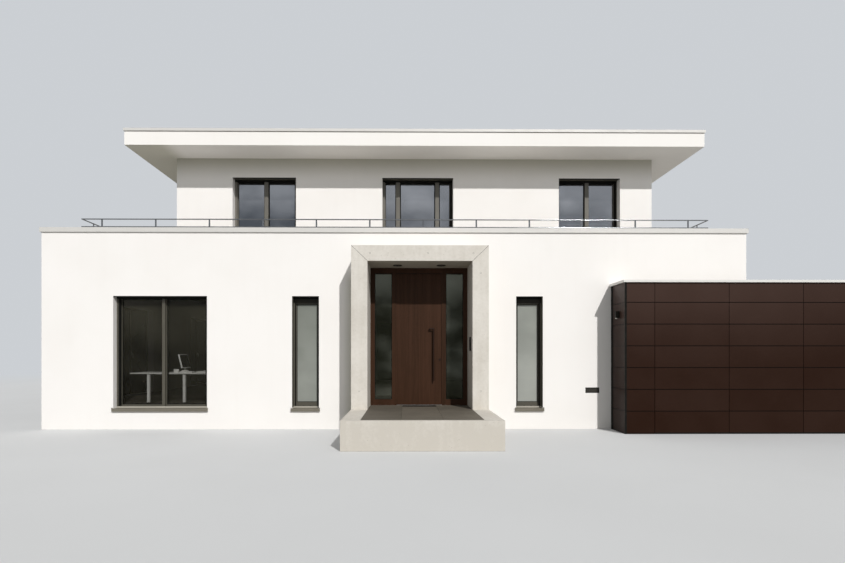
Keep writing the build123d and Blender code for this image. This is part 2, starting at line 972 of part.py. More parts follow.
parts = {
    "ground_slab": ground_slab(),
    "front_wall_left": wall_panel(
        "front", (left, portal_left), wall, full_height, [study_window, slim_windows[0]]
    ),
    "front_wall_right": wall_panel(
        "front", (portal_right, garage_box_left), wall, full_height, [slim_windows[1]]
    )
    - path_light_box(),
    "front_wall_over_door": wall_panel(
        "front", (portal_left, portal_right), wall, (portal_top, wall_top)
    ),
    "wall_over_garage": wall_over_garage(),
    "left_wall": wall_panel("left", (inner_front, inner_back), wall, full_height, left_windows),
    "right_wall": wall_panel(
        "right", (garage_back, inner_back), wall, full_height, [right_window]
    ),
    "back_wall": wall_panel("back", (left, right), wall, full_height, rear_windows),
    "first_floor_slab": block(
        (left + wall, inner_right), (inner_front, inner_back), (slab_under, slab_top)
    ),
    "terrace_paving": terrace_paving(),
    "parapet_coping": parapet_coping(),
    "upper_front_wall": wall_panel(
        "upper_front", (upper_left, upper_right), upper_wall, upper_height, upper_windows
    ),
    "upper_left_wall": wall_panel(
        "upper_left",
        (-upper_back + upper_wall, -upper_front - upper_wall),
        upper_wall,
        upper_height,
        [left_side_window],
    ),
    "upper_right_wall": wall_panel(
        "upper_right",
        (upper_front + upper_wall, upper_back - upper_wall),
        upper_wall,
        upper_height,
        [right_side_window],
    ),
    "upper_back_wall": wall_panel(
        "upper_back", (-upper_right, -upper_left), upper_wall, upper_height, upper_rear_windows
    ),
    "roof_slab": roof_slab(),
    "roof_edge_trim": roof_edge_trim(),
    "railing_front": faces["front"] * railing(front_rail, railing_posts),
    "railing_left": faces["left"] * railing(side_rail, railing_side_posts),
    "railing_right": faces["right"] * railing(side_rail, railing_side_posts),
    "railing_back": faces["back"] * railing(front_rail, railing_posts),
    "portal_left_pier": left_pier,
    "portal_right_pier": right_pier,
    "portal_lintel": lintel,
    "porch_plinth": porch_plinth(),
    "porch_paving": porch_recess() - grille_box(),
    "foot_grille": foot_grille(),
    "portal_downlights": Compound(
        [downlight(portal_centre + side * downlight_spacing) for side in (-1, 1)]
    ),
    "intercom_plate": intercom_plate(),
    "door_frame": door_frame(),
    "sidelight_glass": Compound([sidelight(-1), sidelight(1)]),
    "door_hinge_pins": Compound([hinge_pin(level) for level in hinge_levels]),
    "door_leaf": door_leaf(),
    "door_hinge_knuckles": Compound([hinge_knuckle(level) for level in hinge_levels]),
    "door_handles": Compound([pull_bar(), lock_rosette(), inner_lever()]),
    "study_window_frame": study_window.frame(),
    "study_window_glass": Compound(study_window.glass()),
    "slim_window_frames": Compound([window.frame() for window in slim_windows]),
    "slim_window_glass": Compound([pane for window in slim_windows for pane in window.glass()]),
    "upper_window_frames": Compound([window.frame() for window in upper_windows]),
    "upper_window_glass": Compound(
        [pane for window in upper_windows for pane in window.glass()]
    ),
    "side_window_frames": Compound([window.frame() for window in side_windows]),
    "side_window_glass": Compound([pane for window in side_windows for pane in window.glass()]),
    "rear_window_frames": Compound([window.frame() for window in all_rear_windows]),
    "rear_window_glass": Compound(
        [pane for window in all_rear_windows for pane in window.glass()]
    ),
    "study_desk": study_desk(),
    "window_sills": Compound([window.sill() for window in sill_windows]),
    "garage_floor": garage_floor(),
    "garage_left_wall": garage_side_wall(garage_box_left, 1),
    "garage_right_wall": garage_side_wall(garage_box_right, -1),
    "garage_back_wall": block(
        (garage_box_left, garage_box_right),
        (garage_back - garage_wall, garage_back),
        (0, garage_ceiling),
    ),
    "garage_roof_slab": garage_roof_slab(),
    "garage_coping": garage_coping(),
    "garage_front_cladding": garage_front_cladding(),
    "garage_side_cladding": garage_side_cladding(),
    "garage_door": garage_door(),
    "path_light": path_light(),
    "garage_lamp": garage_lamp(),
}

os.makedirs("parts", exist_ok=True)
for name, shape in parts.items():
    shape.label = name
    export_step(shape, f"parts/{name}.step")
print(len(parts), "parts written")
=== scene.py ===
"""Looks for the detached house: finishes, fine pieces, studio light and camera.

Everything is in metres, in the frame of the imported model: X runs to the right along the
street front, Y into the house and Z up from the lowest ground.
"""

import json
import logging
import math
import random
from dataclasses import dataclass, field, replace
from enum import Enum
from typing import Callable, Iterator, NamedTuple, Sequence

import bmesh
import bpy
from mathutils import Matrix, Vector, noise


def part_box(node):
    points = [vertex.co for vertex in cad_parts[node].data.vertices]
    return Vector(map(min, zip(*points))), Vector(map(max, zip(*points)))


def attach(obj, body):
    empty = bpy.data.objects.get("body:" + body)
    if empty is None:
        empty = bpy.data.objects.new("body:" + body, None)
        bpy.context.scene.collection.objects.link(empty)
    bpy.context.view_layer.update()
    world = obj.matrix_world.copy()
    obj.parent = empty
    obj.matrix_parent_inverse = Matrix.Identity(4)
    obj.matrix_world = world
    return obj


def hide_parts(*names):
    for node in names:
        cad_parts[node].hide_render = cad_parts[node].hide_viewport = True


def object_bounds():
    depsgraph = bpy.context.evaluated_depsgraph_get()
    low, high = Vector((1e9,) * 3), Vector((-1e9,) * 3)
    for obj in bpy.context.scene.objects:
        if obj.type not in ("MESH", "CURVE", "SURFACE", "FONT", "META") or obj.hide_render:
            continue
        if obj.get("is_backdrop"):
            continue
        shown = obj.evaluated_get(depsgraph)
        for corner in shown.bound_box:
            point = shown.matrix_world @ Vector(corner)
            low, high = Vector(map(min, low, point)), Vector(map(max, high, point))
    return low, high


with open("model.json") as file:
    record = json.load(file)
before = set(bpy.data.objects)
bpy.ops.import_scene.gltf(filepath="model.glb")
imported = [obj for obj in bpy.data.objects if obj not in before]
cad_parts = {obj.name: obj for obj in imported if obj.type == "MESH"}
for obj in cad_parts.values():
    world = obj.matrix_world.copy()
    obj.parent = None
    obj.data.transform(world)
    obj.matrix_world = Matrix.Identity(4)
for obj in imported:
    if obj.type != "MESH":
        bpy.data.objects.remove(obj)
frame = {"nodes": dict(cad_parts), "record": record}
CAD_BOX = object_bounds()
LOG = logging.getLogger("house")

Piece = bpy.types.Object
Point = Sequence[float]
Triple = tuple[float, float, float]
Limits = tuple[float, float]
Spot = tuple[Point, Point]
MERGE_DISTANCE = 1e-5
EDGE_ANGLE = math.radians(40)
SMOOTH_ANGLE = math.radians(32)
EVEN = (1.0, 1.0, 1.0)
NO_TURN = (0.0, 0.0, 0.0)
USUAL_EASE = 0.001


class Body(Enum):
    """The bodies that a piece can ride on."""

    HOUSE = "house"
    DOOR = "entrance_door"


class Slot(Enum):
    """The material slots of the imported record."""

    WHITE_RENDER = "white_render"
    INNER_PLASTER = "inner_plaster"
    FAIR_CONCRETE = "fair_concrete"
    ROOF_RENDER = "roof_render"
    COPING_METAL = "coping_metal"
    WHITE_COPING = "white_coping"
    FRAME_METAL = "frame_metal"
    CLEAR_GLASS = "clear_glass"
    OBSCURED_GLASS = "obscured_glass"
    DOOR_WOOD = "door_wood"
    GARAGE_PANEL = "garage_panel"
    RAILING_METAL = "railing_metal"
    STEEL = "steel"
    DARK_PAVING = "dark_paving"
    TERRACE_STONE = "terrace_stone"
    GARAGE_SCREED = "garage_screed"
    LAMP_METAL = "lamp_metal"
    DESK_WHITE = "desk_white"


def srgb(*channels: float) -> Triple:
    """Turn a colour as it looks on screen, in 0 to 255, into a linear one.

    Args:
        channels: The red, green and blue values.

    Returns:
        The linear colour that a shader takes.
    """
    shares = [value / 255 for value in channels]
    return tuple(part / 12.92 if part <= 0.04045 else ((part + 0.055) / 1.055) ** 2.4 for part in shares)


def operator(operation: str, turned: bool = False) -> Callable[..., "Signal"]:
    """Make a method of a signal that adds one Math node.

    Args:
        operation: The node's operation.
        turned: Whether the signal comes after the other value.

    Returns:
        The method.
    """

    def method(self: "Signal", *others: "Signal | float") -> "Signal":
        """Add the node on the signal and the other values."""
        values = (*others, self) if turned else (self, *others)
        return self.graph.node("ShaderNodeMath", {"operation": operation}, dict(enumerate(values)))

    return method


class Signal:
    """One value in a node tree, on which operators add Math nodes."""

    def __init__(self, graph: "NodeGraph", socket: bpy.types.NodeSocket) -> None:
        """Keep the value's graph and the socket that gives it."""
        self.graph = graph
        self.socket = socket

    __add__, __radd__ = operator("ADD"), operator("ADD", True)
    __sub__, __rsub__ = operator("SUBTRACT"), operator("SUBTRACT", True)
    __mul__, __rmul__ = operator("MULTIPLY"), operator("MULTIPLY", True)
    __truediv__, __rtruediv__ = operator("DIVIDE"), operator("DIVIDE", True)
    floor, size = operator("FLOOR"), operator("ABSOLUTE")
    below, larger = operator("LESS_THAN"), operator("MAXIMUM")

    def ramp(self, low: float, high: float, start: float = 0.0, end: float = 1.0) -> "Signal":
        """Map a range smoothly onto another and hold it at both ends.

        Args:
            low: Value that gives the start.
            high: Value that gives the end.
            start: What low becomes.
            end: What high becomes.

        Returns:
            The mapped value.
        """
        return self.graph.node(
            "ShaderNodeMapRange",
            {"interpolation_type": "SMOOTHSTEP", "clamp": True},
            {"Value": self, "From Min": low, "From Max": high, "To Min": start, "To Max": end},
        )

    def soft(self, start: float = 0.0, end: float = 1.0) -> "Signal":
        """Spread the middle of a noise over a range."""
        return self.ramp(0.3, 0.7, start, end)


class NodeGraph:
    """A tree of nodes, where one method adds any node."""

    def __init__(self, tree: bpy.types.NodeTree) -> None:
        """Start with an empty tree."""
        self.tree = tree
        self.tree.nodes.clear()

    def node(
        self, kind: str, settings: dict | None = None, inputs: dict | None = None, output: int | str = 0
    ) -> Signal | None:
        """Add one node.

        Args:
            kind: The node's type.
            settings: Its settings, which are set first.
            inputs: The value or signal of each of its sockets, by name or number.
            output: The name or number of the output wanted.

        Returns:
            That output, where the node has one.
        """
        made = self.tree.nodes.new(kind)
        for name, value in (settings or {}).items():
            setattr(made, name, value)
        for name, value in (inputs or {}).items():
            socket = made.inputs[name]
            if isinstance(value, Signal):
                self.tree.links.new(value.socket, socket)
            elif socket.type == "RGBA" and len(value) == 3:
                socket.default_value = (*value, 1.0)
            else:
                socket.default_value = value
        return Signal(self, made.outputs[output]) if made.outputs else None


class ShaderGraph(NodeGraph):
    """The nodes of one material, or of the world."""

    sockets = {
        "base": "Base Color",
        "rough": "Roughness",
        "specular": "Specular IOR Level",
        "coat": "Coat Weight",
        "coat_rough": "Coat Roughness",
        "metallic": "Metallic",
        "index": "IOR",
        "alpha": "Alpha",
        "normal": "Normal",
    }

    def seen(self) -> Signal:
        """Give 1 where the eye looks, or gloss or glass on its behalf."""
        names = ("Is Camera Ray", "Is Glossy Ray", "Is Transmission Ray")
        rays = [self.node("ShaderNodeLightPath", output=name) for name in names]
        return rays[0].larger(rays[1]).larger(rays[2])

    def place(self, stretch: Triple = EVEN) -> Signal:
        """Give the place on the object in metres, with each axis multiplied by its stretch."""
        spot = self.node("ShaderNodeTexCoord", output=3)
        if stretch == EVEN:
            return spot
        return self.node("ShaderNodeVectorMath", {"operation": "MULTIPLY"}, {0: spot, 1: stretch})

    def axes(self) -> tuple[Signal, Signal, Signal]:
        """Give the place on the object as three numbers in metres."""
        spot = self.place()
        return tuple(self.node("ShaderNodeSeparateXYZ", inputs={0: spot}, output=axis) for axis in range(3))

    def noise(
        self, scale: float, detail: float = 2.0, rough: float = 0.5, where: Signal | Triple = EVEN
    ) -> Signal:
        """Give soft random noise.

        Args:
            scale: How many blotches there are in a metre.
            detail: How many finer layers it has.
            rough: How strong the finer layers are.
            where: Where it is read, or how the object's own place is stretched for it.

        Returns:
            A value about 0.5, between 0 and 1.
        """
        place = where if isinstance(where, Signal) else self.place(where)
        sockets = {"Vector": place, "Scale": scale, "Detail": detail, "Roughness": rough}
        return self.node("ShaderNodeTexNoise", inputs=sockets)

    def cells(self, scale: float) -> Signal:
        """Give the distance to the nearest cell's middle."""
        return self.node("ShaderNodeTexVoronoi", inputs={"Vector": self.place(), "Scale": scale})

    def random(self, dimensions: str, inputs: dict) -> Signal:
        """Give one random value for each value of the inputs."""
        return self.node("ShaderNodeTexWhiteNoise", {"noise_dimensions": dimensions}, inputs)

    def mix(self, share: Signal | float, first: Signal | Triple, second: Signal | Triple) -> Signal:
        """Mix two colours, from the first at 0 to the second at 1."""
        return self.node("ShaderNodeMix", {"data_type": "RGBA"}, {0: share, 6: first, 7: second}, 2)

    def bump(self, height: Signal, distance: float, strength: float = 1.0) -> Signal:
        """Give the normal of a surface whose relief is a height times a distance in metres."""
        sockets = {"Height": height, "Distance": distance, "Strength": strength}
        return self.node("ShaderNodeBump", inputs=sockets)

    def principled(self, **values: Signal | float | Triple) -> Signal:
        """Add one Principled shader, with its sockets under their short names."""
        inputs = {self.sockets[name]: value for name, value in values.items()}
        return self.node("ShaderNodeBsdfPrincipled", inputs=inputs)

    def finish(self, **values: Signal | float | Triple) -> None:
        """End the material in one Principled shader."""
        self.node("ShaderNodeOutputMaterial", inputs={"Surface": self.principled(**values)})


@dataclass(frozen=True)
class Finish:
    """What every finish has: a name, and nodes that are built once."""

    name: str

    def material(self) -> bpy.types.Material:
        """Give the finish's material, built the first time."""
        found = bpy.data.materials.get(self.name)
        if found is None:
            found = bpy.data.materials.new(self.name)
            found.use_nodes = True
            self.paint(ShaderGraph(found.node_tree))
        return found

    def paint(self, graph: ShaderGraph) -> None:
        """Build the finish's nodes."""
        raise NotImplementedError


@dataclass(frozen=True)
class MineralRender(Finish):
    """Scraped mineral render: sandy grain, soft clouds and faint streaks, with painted shade in corners.

    Walls get painted shade under the roof and beside the portal, and a soffit gets it at its left end.
    """

    colour: Triple
    weathered: Triple
    grains: float = 420.0
    relief: float = 0.0010
    # the colour of the painted shade
    dull: Triple = srgb(182, 179, 166)
    soffit: float = 0.0
    soffit_end: Limits = (-5.4, -4.9)
    under_roof: Limits = (5.64, 6.26)
    beside_pier: Limits = (-1.14, -0.84)
    pier_top: Limits = (3.0, 3.35)
    pier_side: float = -0.6
    front: float = -5.2

    def painted_shade_share(self, x: Signal, y: Signal, z: Signal) -> Signal:
        """Give how much painted shade the render has at a place."""
        if self.soffit:
            return (z - self.soffit).size().below(0.002) * x.ramp(*self.soffit_end, 1.0, 0.0)
        beside = x.below(self.pier_side) * y.below(self.front)
        pier = beside * x.ramp(*self.beside_pier, 0.0, 0.9) * z.ramp(*self.pier_top, 1.0, 0.0)
        return z.ramp(*self.under_roof) + pier

    def paint(self, graph: ShaderGraph) -> None:
        """Build the render's nodes."""
        grain = graph.noise(self.grains, 3.0, 0.6)
        lumps = graph.noise(self.grains / 6)
        runs = graph.noise(7.0, 4.0, 0.6, (1.0, 1.0, 0.07))
        wear = graph.noise(0.7, 4.0).ramp(0.35, 0.75) * 0.75 + runs.ramp(0.45, 0.8) * 0.25
        clean = graph.mix(wear * 0.5, self.colour, self.weathered)
        # painted shade: the base colour darkens under the roof, beside the pier and at the soffit's left
        # end
        tone = graph.mix(self.painted_shade_share(*graph.axes()), clean, self.dull)
        graph.finish(
            base=graph.mix(grain.ramp(0.28, 0.42, 0.10, 0.0), tone, self.weathered),
            rough=grain.soft(0.84, 0.95),
            specular=0.3,
            normal=graph.bump(grain * 0.75 + lumps * 0.25, self.relief, 0.6),
        )


@dataclass(frozen=True)
class FairConcrete(Finish):
    """Fair-faced concrete: clouds, pores and faint marks of the formwork, with painted shade on the soffit
    and towards the foot.
    """

    pale: Triple
    dark: Triple
    pore: Triple
    # the colour of the painted shade on the soffit
    soffit_shade: Triple = srgb(120, 100, 60)
    sheet: float = 0.61
    soffit: float = 3.317
    foot: Limits = (0.3, 0.8)

    def paint(self, graph: ShaderGraph) -> None:
        """Build the concrete's nodes."""
        mottle = graph.noise(22.0, 3.0, 0.55)
        runs = graph.noise(9.0, 3.0, where=(1.0, 1.0, 0.1))
        tone = graph.noise(1.6, 5.0, 0.6).soft() * 0.5 + mottle.soft() * 0.25 + runs.ramp(0.4, 0.7) * 0.25
        chance = graph.noise(11.0, 1.0)
        pores = graph.cells(34.0).below(chance.ramp(0.45, 0.75, 0.0, 0.13))
        height = graph.axes()[2]
        seam = (height / self.sheet - (height / self.sheet).floor()).below(0.008)
        # painted shade: darker towards the foot
        body = graph.mix(tone + height.ramp(*self.foot, 0.6, 0.0), self.pale, self.dark)
        # painted shade: the soffit's underside darkens
        under = (height - self.soffit).size().below(0.0006)
        marked = graph.mix(seam * 0.22, graph.mix(under * 0.45, body, self.soffit_shade), self.dark)
        relief = graph.noise(700.0) * 0.12 + mottle * 0.2 - pores - seam * 0.25
        graph.finish(
            base=graph.mix(pores * 0.8, marked, self.pore),
            rough=mottle.soft(0.58, 0.78),
            specular=0.4,
            normal=graph.bump(relief, 0.0012, 0.8),
        )


@dataclass(frozen=True)
class StainedWood(Finish):
    """Dark stained veneer with upright grain, laid in sheets, under a thin lacquer."""

    pale: Triple
    dark: Triple
    sheet: float = 0.235

    def paint(self, graph: ShaderGraph) -> None:
        """Build the wood's nodes."""
        each = graph.random("1D", {"W": (graph.axes()[0] / self.sheet).floor()})
        bend = graph.noise(1.0, where=(1.6, 1.6, 0.35))
        shift = graph.node("ShaderNodeCombineXYZ", inputs={0: bend * 0.09, 2: each * 7.0})
        upright = graph.place((1.0, 1.0, 0.035))
        across = graph.node("ShaderNodeVectorMath", {"operation": "ADD"}, {0: upright, 1: shift})
        figure = graph.noise(16.0, 3.0, 0.6, across)
        fibres = graph.noise(160.0, 3.0, 0.65, across)
        lines = graph.noise(620.0, 1.0, where=(1.0, 1.0, 0.05)).ramp(0.30, 0.42, 1.0, 0.0)
        grain = figure.soft() * 0.4 + fibres.soft() * 0.35 + each * 0.25
        graph.finish(
            base=graph.mix(lines * 0.4, graph.mix(grain, self.dark, self.pale), self.dark),
            rough=fibres.soft(0.40, 0.58),
            specular=0.1,
            coat=figure.ramp(0.2, 0.8, 0.01, 0.05),
            coat_rough=0.3,
            normal=graph.bump(fibres * 0.6 - lines * 0.4, 0.0004, 0.7),
        )


@dataclass(frozen=True)
class LacqueredPanel(Finish):
    """Smooth dark panels with dark joints, each unlike the next, with painted light that makes them greyer
    towards the top.
    """

    pale: Triple
    dark: Triple
    first: Limits
    pitch: Limits
    joint: Triple = srgb(14, 10, 8)
    greyer: Limits = (1.1, 3.1)
    paler: Limits = (6.0, 11.0)
    specular: float = 0.05
    seam: float = 0.008

    def paint(self, graph: ShaderGraph) -> None:
        """Build the panels' nodes."""
        x, y, z = graph.axes()
        across, up = self.pitch
        rows = (z - self.first[1]) / up
        places = {0: ((x - self.first[0]) / across).floor(), 1: (y / across).floor(), 2: rows.floor()}
        each = graph.random("3D", {"Vector": graph.node("ShaderNodeCombineXYZ", inputs=places)})
        seam = (0.5 - (rows - rows.floor() - 0.5).size()).below(self.seam / up)
        haze = graph.noise(1.1, 3.0)
        brushed = graph.noise(240.0, 3.0, 0.6, (0.03, 0.03, 1.0))
        tone = each * 0.14 + haze.soft() * 0.12 + brushed.soft() * 0.08
        # painted light: paler towards the top, less so towards the right
        fade = z.ramp(*self.greyer) * x.ramp(*self.paler, 0.75, 0.4)
        graph.finish(
            base=graph.mix(seam * 0.8, graph.mix(tone + fade, self.dark, self.pale), self.joint),
            rough=haze.soft(0.30, 0.42),
            specular=self.specular,
            coat=haze.soft(0.04, 0.01),
            coat_rough=0.2,
            normal=graph.bump(graph.noise(260.0) * 0.15 + graph.noise(3.0, 1.0) * 0.85, 0.0006, 0.5),
        )


@dataclass(frozen=True)
class CoatedMetal(Finish):
    """Powder-coated sheet: a fine skin, soft dust, faint wear, and painted shade below a level."""

    colour: Triple
    dusty: Triple
    rough: Limits = (0.38, 0.55)
    metallic: float = 0.0
    specular: float = 0.3
    dark: Triple = srgb(46, 43, 37)
    dark_below: float = 0.0

    def paint(self, graph: ShaderGraph) -> None:
        """Build the coating's nodes."""
        clouds = graph.noise(2.4, 4.0, 0.6)
        runs = graph.noise(18.0, 3.0, 0.6, (1.0, 1.0, 0.1))
        wear = clouds.ramp(0.3, 0.8) * 0.6 + runs.ramp(0.45, 0.8) * 0.4
        body = graph.mix(wear * 0.35, self.colour, self.dusty)
        # painted shade: darker below the level
        if self.dark_below > 0:
            body = graph.mix(graph.axes()[2].below(self.dark_below), body, self.dark)
        graph.finish(
            base=body,
            metallic=self.metallic,
            specular=self.specular,
            rough=clouds.soft(*self.rough),
            normal=graph.bump(graph.noise(900.0), 0.00025, 0.5),
        )


@dataclass(frozen=True)
class BrushedSteel(Finish):
    """Brushed stainless steel with lines along one axis."""

    colour: Triple
    lines: Triple = (1.0, 1.0, 0.02)
    rough: Limits = (0.22, 0.40)
    smear: Triple = srgb(120, 118, 114)

    def paint(self, graph: ShaderGraph) -> None:
        """Build the steel's nodes."""
        brushed = graph.noise(900.0, 3.0, 0.6, self.lines)
        smears = graph.noise(12.0, 3.0, 0.6)
        graph.finish(
            base=graph.mix(smears.ramp(0.3, 0.8) * 0.25, self.colour, self.smear),
            metallic=1.0,
            rough=(brushed * 0.5 + smears * 0.5).soft(*self.rough),
            normal=graph.bump(brushed, 0.0001, 0.5),
        )


@dataclass(frozen=True)
class Glazing(Finish):
    """A sealed glass unit: a tinted, partly see-through mirror, with soft clouds of painted reflection on
    it.

    Its painted reflection can grow paler along X and with height: from here, to there, by how much.
    """

    colour: Triple
    painted_reflection_and_film: Triple
    opacity: Limits
    rough: Limits = (0.015, 0.05)
    index: float = 1.45
    metallic: float = 0.0
    painted_cloud_share: float = 1.0
    right: Triple = (0.0, 1.0, 0.0)
    up: Triple = (0.0, 1.0, 0.0)

    def paint(self, graph: ShaderGraph) -> None:
        """Build the glass's nodes."""
        # painted reflection: soft clouds, which also set the film's roughness and how much the glass lets
        # through
        painted_reflection_and_film = graph.noise(0.9, 3.0, where=(1.0, 1.0, 1.5))
        share = painted_reflection_and_film.ramp(0.38, 0.68, 0.0, self.painted_cloud_share)
        x, _, z = graph.axes()
        # painted light: paler along X and with height
        for axis, (start, end, rise) in ((x, self.right), (z, self.up)):
            if rise > 0:
                share = share + axis.ramp(start, end, 0.0, rise)
        graph.finish(
            base=graph.mix(share, self.colour, self.painted_reflection_and_film),
            metallic=self.metallic,
            rough=(painted_reflection_and_film * 0.7 + graph.noise(160.0) * 0.3).ramp(0.35, 0.7, *self.rough),
            index=self.index,
            alpha=painted_reflection_and_film.ramp(0.3, 0.75, *self.opacity),
            normal=graph.bump(graph.noise(0.8, 1.0), 0.0004),
        )


@dataclass(frozen=True)
class StoneSlab(Finish):
    """Stone or concrete slabs: each slab has its own shade, and all are speckled."""

    pale: Triple
    dark: Triple
    speckle: Triple
    grains: float = 260.0

    def paint(self, graph: ShaderGraph) -> None:
        """Build the stone's nodes."""
        grain = graph.noise(self.grains, 3.0, 0.65)
        specks = graph.cells(self.grains / 2).below(0.2)
        shade = graph.node("ShaderNodeAttribute", {"attribute_name": "shade"}, output=2)
        tone = shade * 0.45 + graph.noise(2.2, 5.0, 0.6).soft() * 0.35 + grain.soft() * 0.2
        graph.finish(
            base=graph.mix(specks * 0.35, graph.mix(tone, self.pale, self.dark), self.speckle),
            rough=grain.soft(0.6, 0.85),
            normal=graph.bump(grain * 0.8 - specks * 0.2, 0.0009, 0.7),
        )


@dataclass(frozen=True)
class SmoothPlaster(Finish):
    """Trowelled plaster or screed with wide soft marks."""

    pale: Triple
    dark: Triple
    rough: Limits = (0.6, 0.85)

    def paint(self, graph: ShaderGraph) -> None:
        """Build the plaster's nodes."""
        sweeps = graph.noise(2.6, 4.0, 0.6, (1.0, 1.0, 2.2))
        fine = graph.noise(300.0)
        graph.finish(
            base=graph.mix(sweeps.soft(), self.pale, self.dark),
            rough=(sweeps * 0.5 + fine * 0.5).ramp(0.35, 0.65, *self.rough),
            normal=graph.bump(sweeps * 0.7 + fine * 0.3, 0.0006, 0.5),
        )


@dataclass(frozen=True)
class Rubber(Finish):
    """Matt black rubber for seals and brushes."""

    colour: Triple = (0.007, 0.007, 0.006)
    dust: Triple = srgb(70, 68, 64)

    def paint(self, graph: ShaderGraph) -> None:
        """Build the rubber's nodes."""
        fine = graph.noise(500.0, 3.0, 0.6)
        graph.finish(
            base=graph.mix(graph.noise(14.0, 3.0).ramp(0.4, 0.8) * 0.1, self.colour, self.dust),
            rough=fine.soft(0.7, 0.9),
            specular=0.1,
            normal=graph.bump(fine, 0.0003, 0.6),
        )


@dataclass(frozen=True)
class OpalLens(Finish):
    """Dimpled cover of a lamp with a soft haze in it."""

    colour: Triple
    haze: Triple

    def paint(self, graph: ShaderGraph) -> None:
        """Build the lens's nodes."""
        haze = graph.noise(30.0, 3.0)
        graph.finish(
            base=graph.mix(haze.soft() * 0.4, self.colour, self.haze),
            rough=haze.soft(0.2, 0.35),
            normal=graph.bump(graph.cells(220.0), 0.0005, 0.6),
        )


class Palette:
    """The house's finishes, as the photo shows them; a slot's own finish has the slot's name."""

    WHITE_RENDER = MineralRender("fine mineral render", srgb(244, 241, 238), srgb(235, 231, 226))
    # painted shade: the soffit darkens towards its left end
    ROOF_RENDER = MineralRender(
        "smooth roof render", srgb(244, 241, 237), srgb(236, 232, 226), 600.0, 0.0007,
        dull=srgb(203, 200, 188), soffit=6.215,
    )
    INNER_PLASTER = SmoothPlaster("inner plaster", srgb(226, 222, 214), srgb(212, 207, 198))
    FAIR_CONCRETE = FairConcrete(
        "fair-faced concrete", srgb(219, 214, 206), srgb(200, 194, 184), srgb(110, 104, 94)
    )
    COPING_METAL = CoatedMetal(
        "weathered aluminium coping", srgb(212, 210, 206), srgb(192, 189, 183), (0.4, 0.55), 0.1
    )
    WHITE_COPING = CoatedMetal("white coping", srgb(226, 225, 221), srgb(205, 201, 192))
    FRAME_METAL = CoatedMetal("umbra grey frame coating", srgb(80, 77, 68), srgb(100, 96, 86))
    # painted light: a lighter copy of the frame coating for the lit upper frames
    UPPER_FRAME = CoatedMetal("frame coating painted lit", srgb(106, 103, 96), srgb(128, 124, 117))
    BRONZE = CoatedMetal(
        "dark bronze handle", srgb(42, 27, 20), srgb(60, 42, 33), (0.35, 0.5), specular=0.12
    )
    SILL = CoatedMetal("bronze grey sill coating", srgb(112, 107, 96), srgb(134, 129, 117))
    # painted highlight: the lit top of the sills
    SILL_HIGHLIGHT = CoatedMetal("sill upstand painted as highlight", srgb(170, 165, 154), srgb(184, 179, 168))
    GARAGE_PANEL = LacqueredPanel(
        "dark brown panels", srgb(66, 50, 44), srgb(36, 18, 8), (5.0045, 0.44 - 0.42), (1.4435, 0.42)
    )
    SIDE_PANEL = replace(GARAGE_PANEL, name="glossy side panels", specular=0.1)
    RAILING_METAL = CoatedMetal(
        "grey railing metal", srgb(122, 124, 127), srgb(142, 143, 144), (0.12, 0.2), 0.9
    )
    STEEL = BrushedSteel("brushed steel", srgb(196, 194, 190))
    GRILLE = BrushedSteel("dull grille steel", srgb(52, 49, 45), (0.05, 1.0, 1.0), (0.4, 0.55))
    DOOR_WOOD = StainedWood("dark stained veneer", srgb(69, 44, 30), srgb(46, 29, 16))
    DARK_PAVING = StoneSlab("grey brown slabs", srgb(104, 97, 85), srgb(76, 70, 60), srgb(58, 53, 45))
    TERRACE_STONE = StoneSlab(
        "light terrace slabs", srgb(216, 212, 204), srgb(200, 195, 187), srgb(128, 123, 114)
    )
    GRAVEL = StoneSlab("roof gravel", srgb(196, 191, 181), srgb(124, 118, 108), srgb(90, 86, 80), 90.0)
    FLOOR = StoneSlab("inner stone floor", srgb(86, 79, 69), srgb(70, 64, 55), srgb(56, 51, 44))
    GARAGE_SCREED = SmoothPlaster("garage screed", srgb(150, 147, 141), srgb(126, 122, 115))
    LAMP_METAL = CoatedMetal(
        "dark lamp coating", srgb(38, 36, 31), srgb(60, 57, 51), (0.35, 0.5), specular=0.12
    )
    # painted shade: the desk is darker below half a metre
    DESK_WHITE = CoatedMetal(
        "white desk coating", srgb(242, 242, 236), srgb(230, 229, 222), (0.3, 0.45), dark_below=0.5
    )
    PAPER = SmoothPlaster("white paper", srgb(236, 235, 230), srgb(224, 222, 215), (0.8, 0.9))
    # the glazings' clouds and ramps are painted reflection and painted light
    CLEAR_GLASS = Glazing(
        "clear glass", srgb(25, 23, 13), srgb(112, 109, 93), (0.26, 0.34),
        index=1.3, painted_cloud_share=0.12, up=(1.4, 2.8, 0.32),
    )
    ENTRANCE = Glazing(
        "dark entrance glass", srgb(36, 37, 26), srgb(158, 160, 146), (0.6, 0.72),
        index=1.3, metallic=0.7, painted_cloud_share=0.25, up=(2.55, 3.05, 0.3),
    )
    MIRRORED = Glazing(
        "sky-lit glass", srgb(97, 102, 109), srgb(198, 199, 203), (0.82, 0.92),
        metallic=0.9, painted_cloud_share=0.25, right=(-2.8, 0.2, 0.24), up=(4.75, 5.6, 0.36),
    )
    SHADED = Glazing(
        "shaded glass", srgb(58, 61, 62), srgb(92, 95, 96), (0.96, 1.0), metallic=0.3, painted_cloud_share=0.5
    )
    OBSCURED_GLASS = Glazing(
        "obscured glass", srgb(119, 123, 115), srgb(180, 182, 176), (0.9, 0.96), (0.3, 0.45),
        painted_cloud_share=0.15, right=(-2.0, 3.6, 0.35), up=(2.4, 0.6, 0.4),
    )
    DARK_GLASS = Glazing("dark screen glass", srgb(12, 12, 12), srgb(22, 22, 22), (0.98, 1.0))
    RUBBER = Rubber("sealing rubber")
    LENS = OpalLens("opal lens", srgb(232, 230, 222), srgb(206, 202, 190))
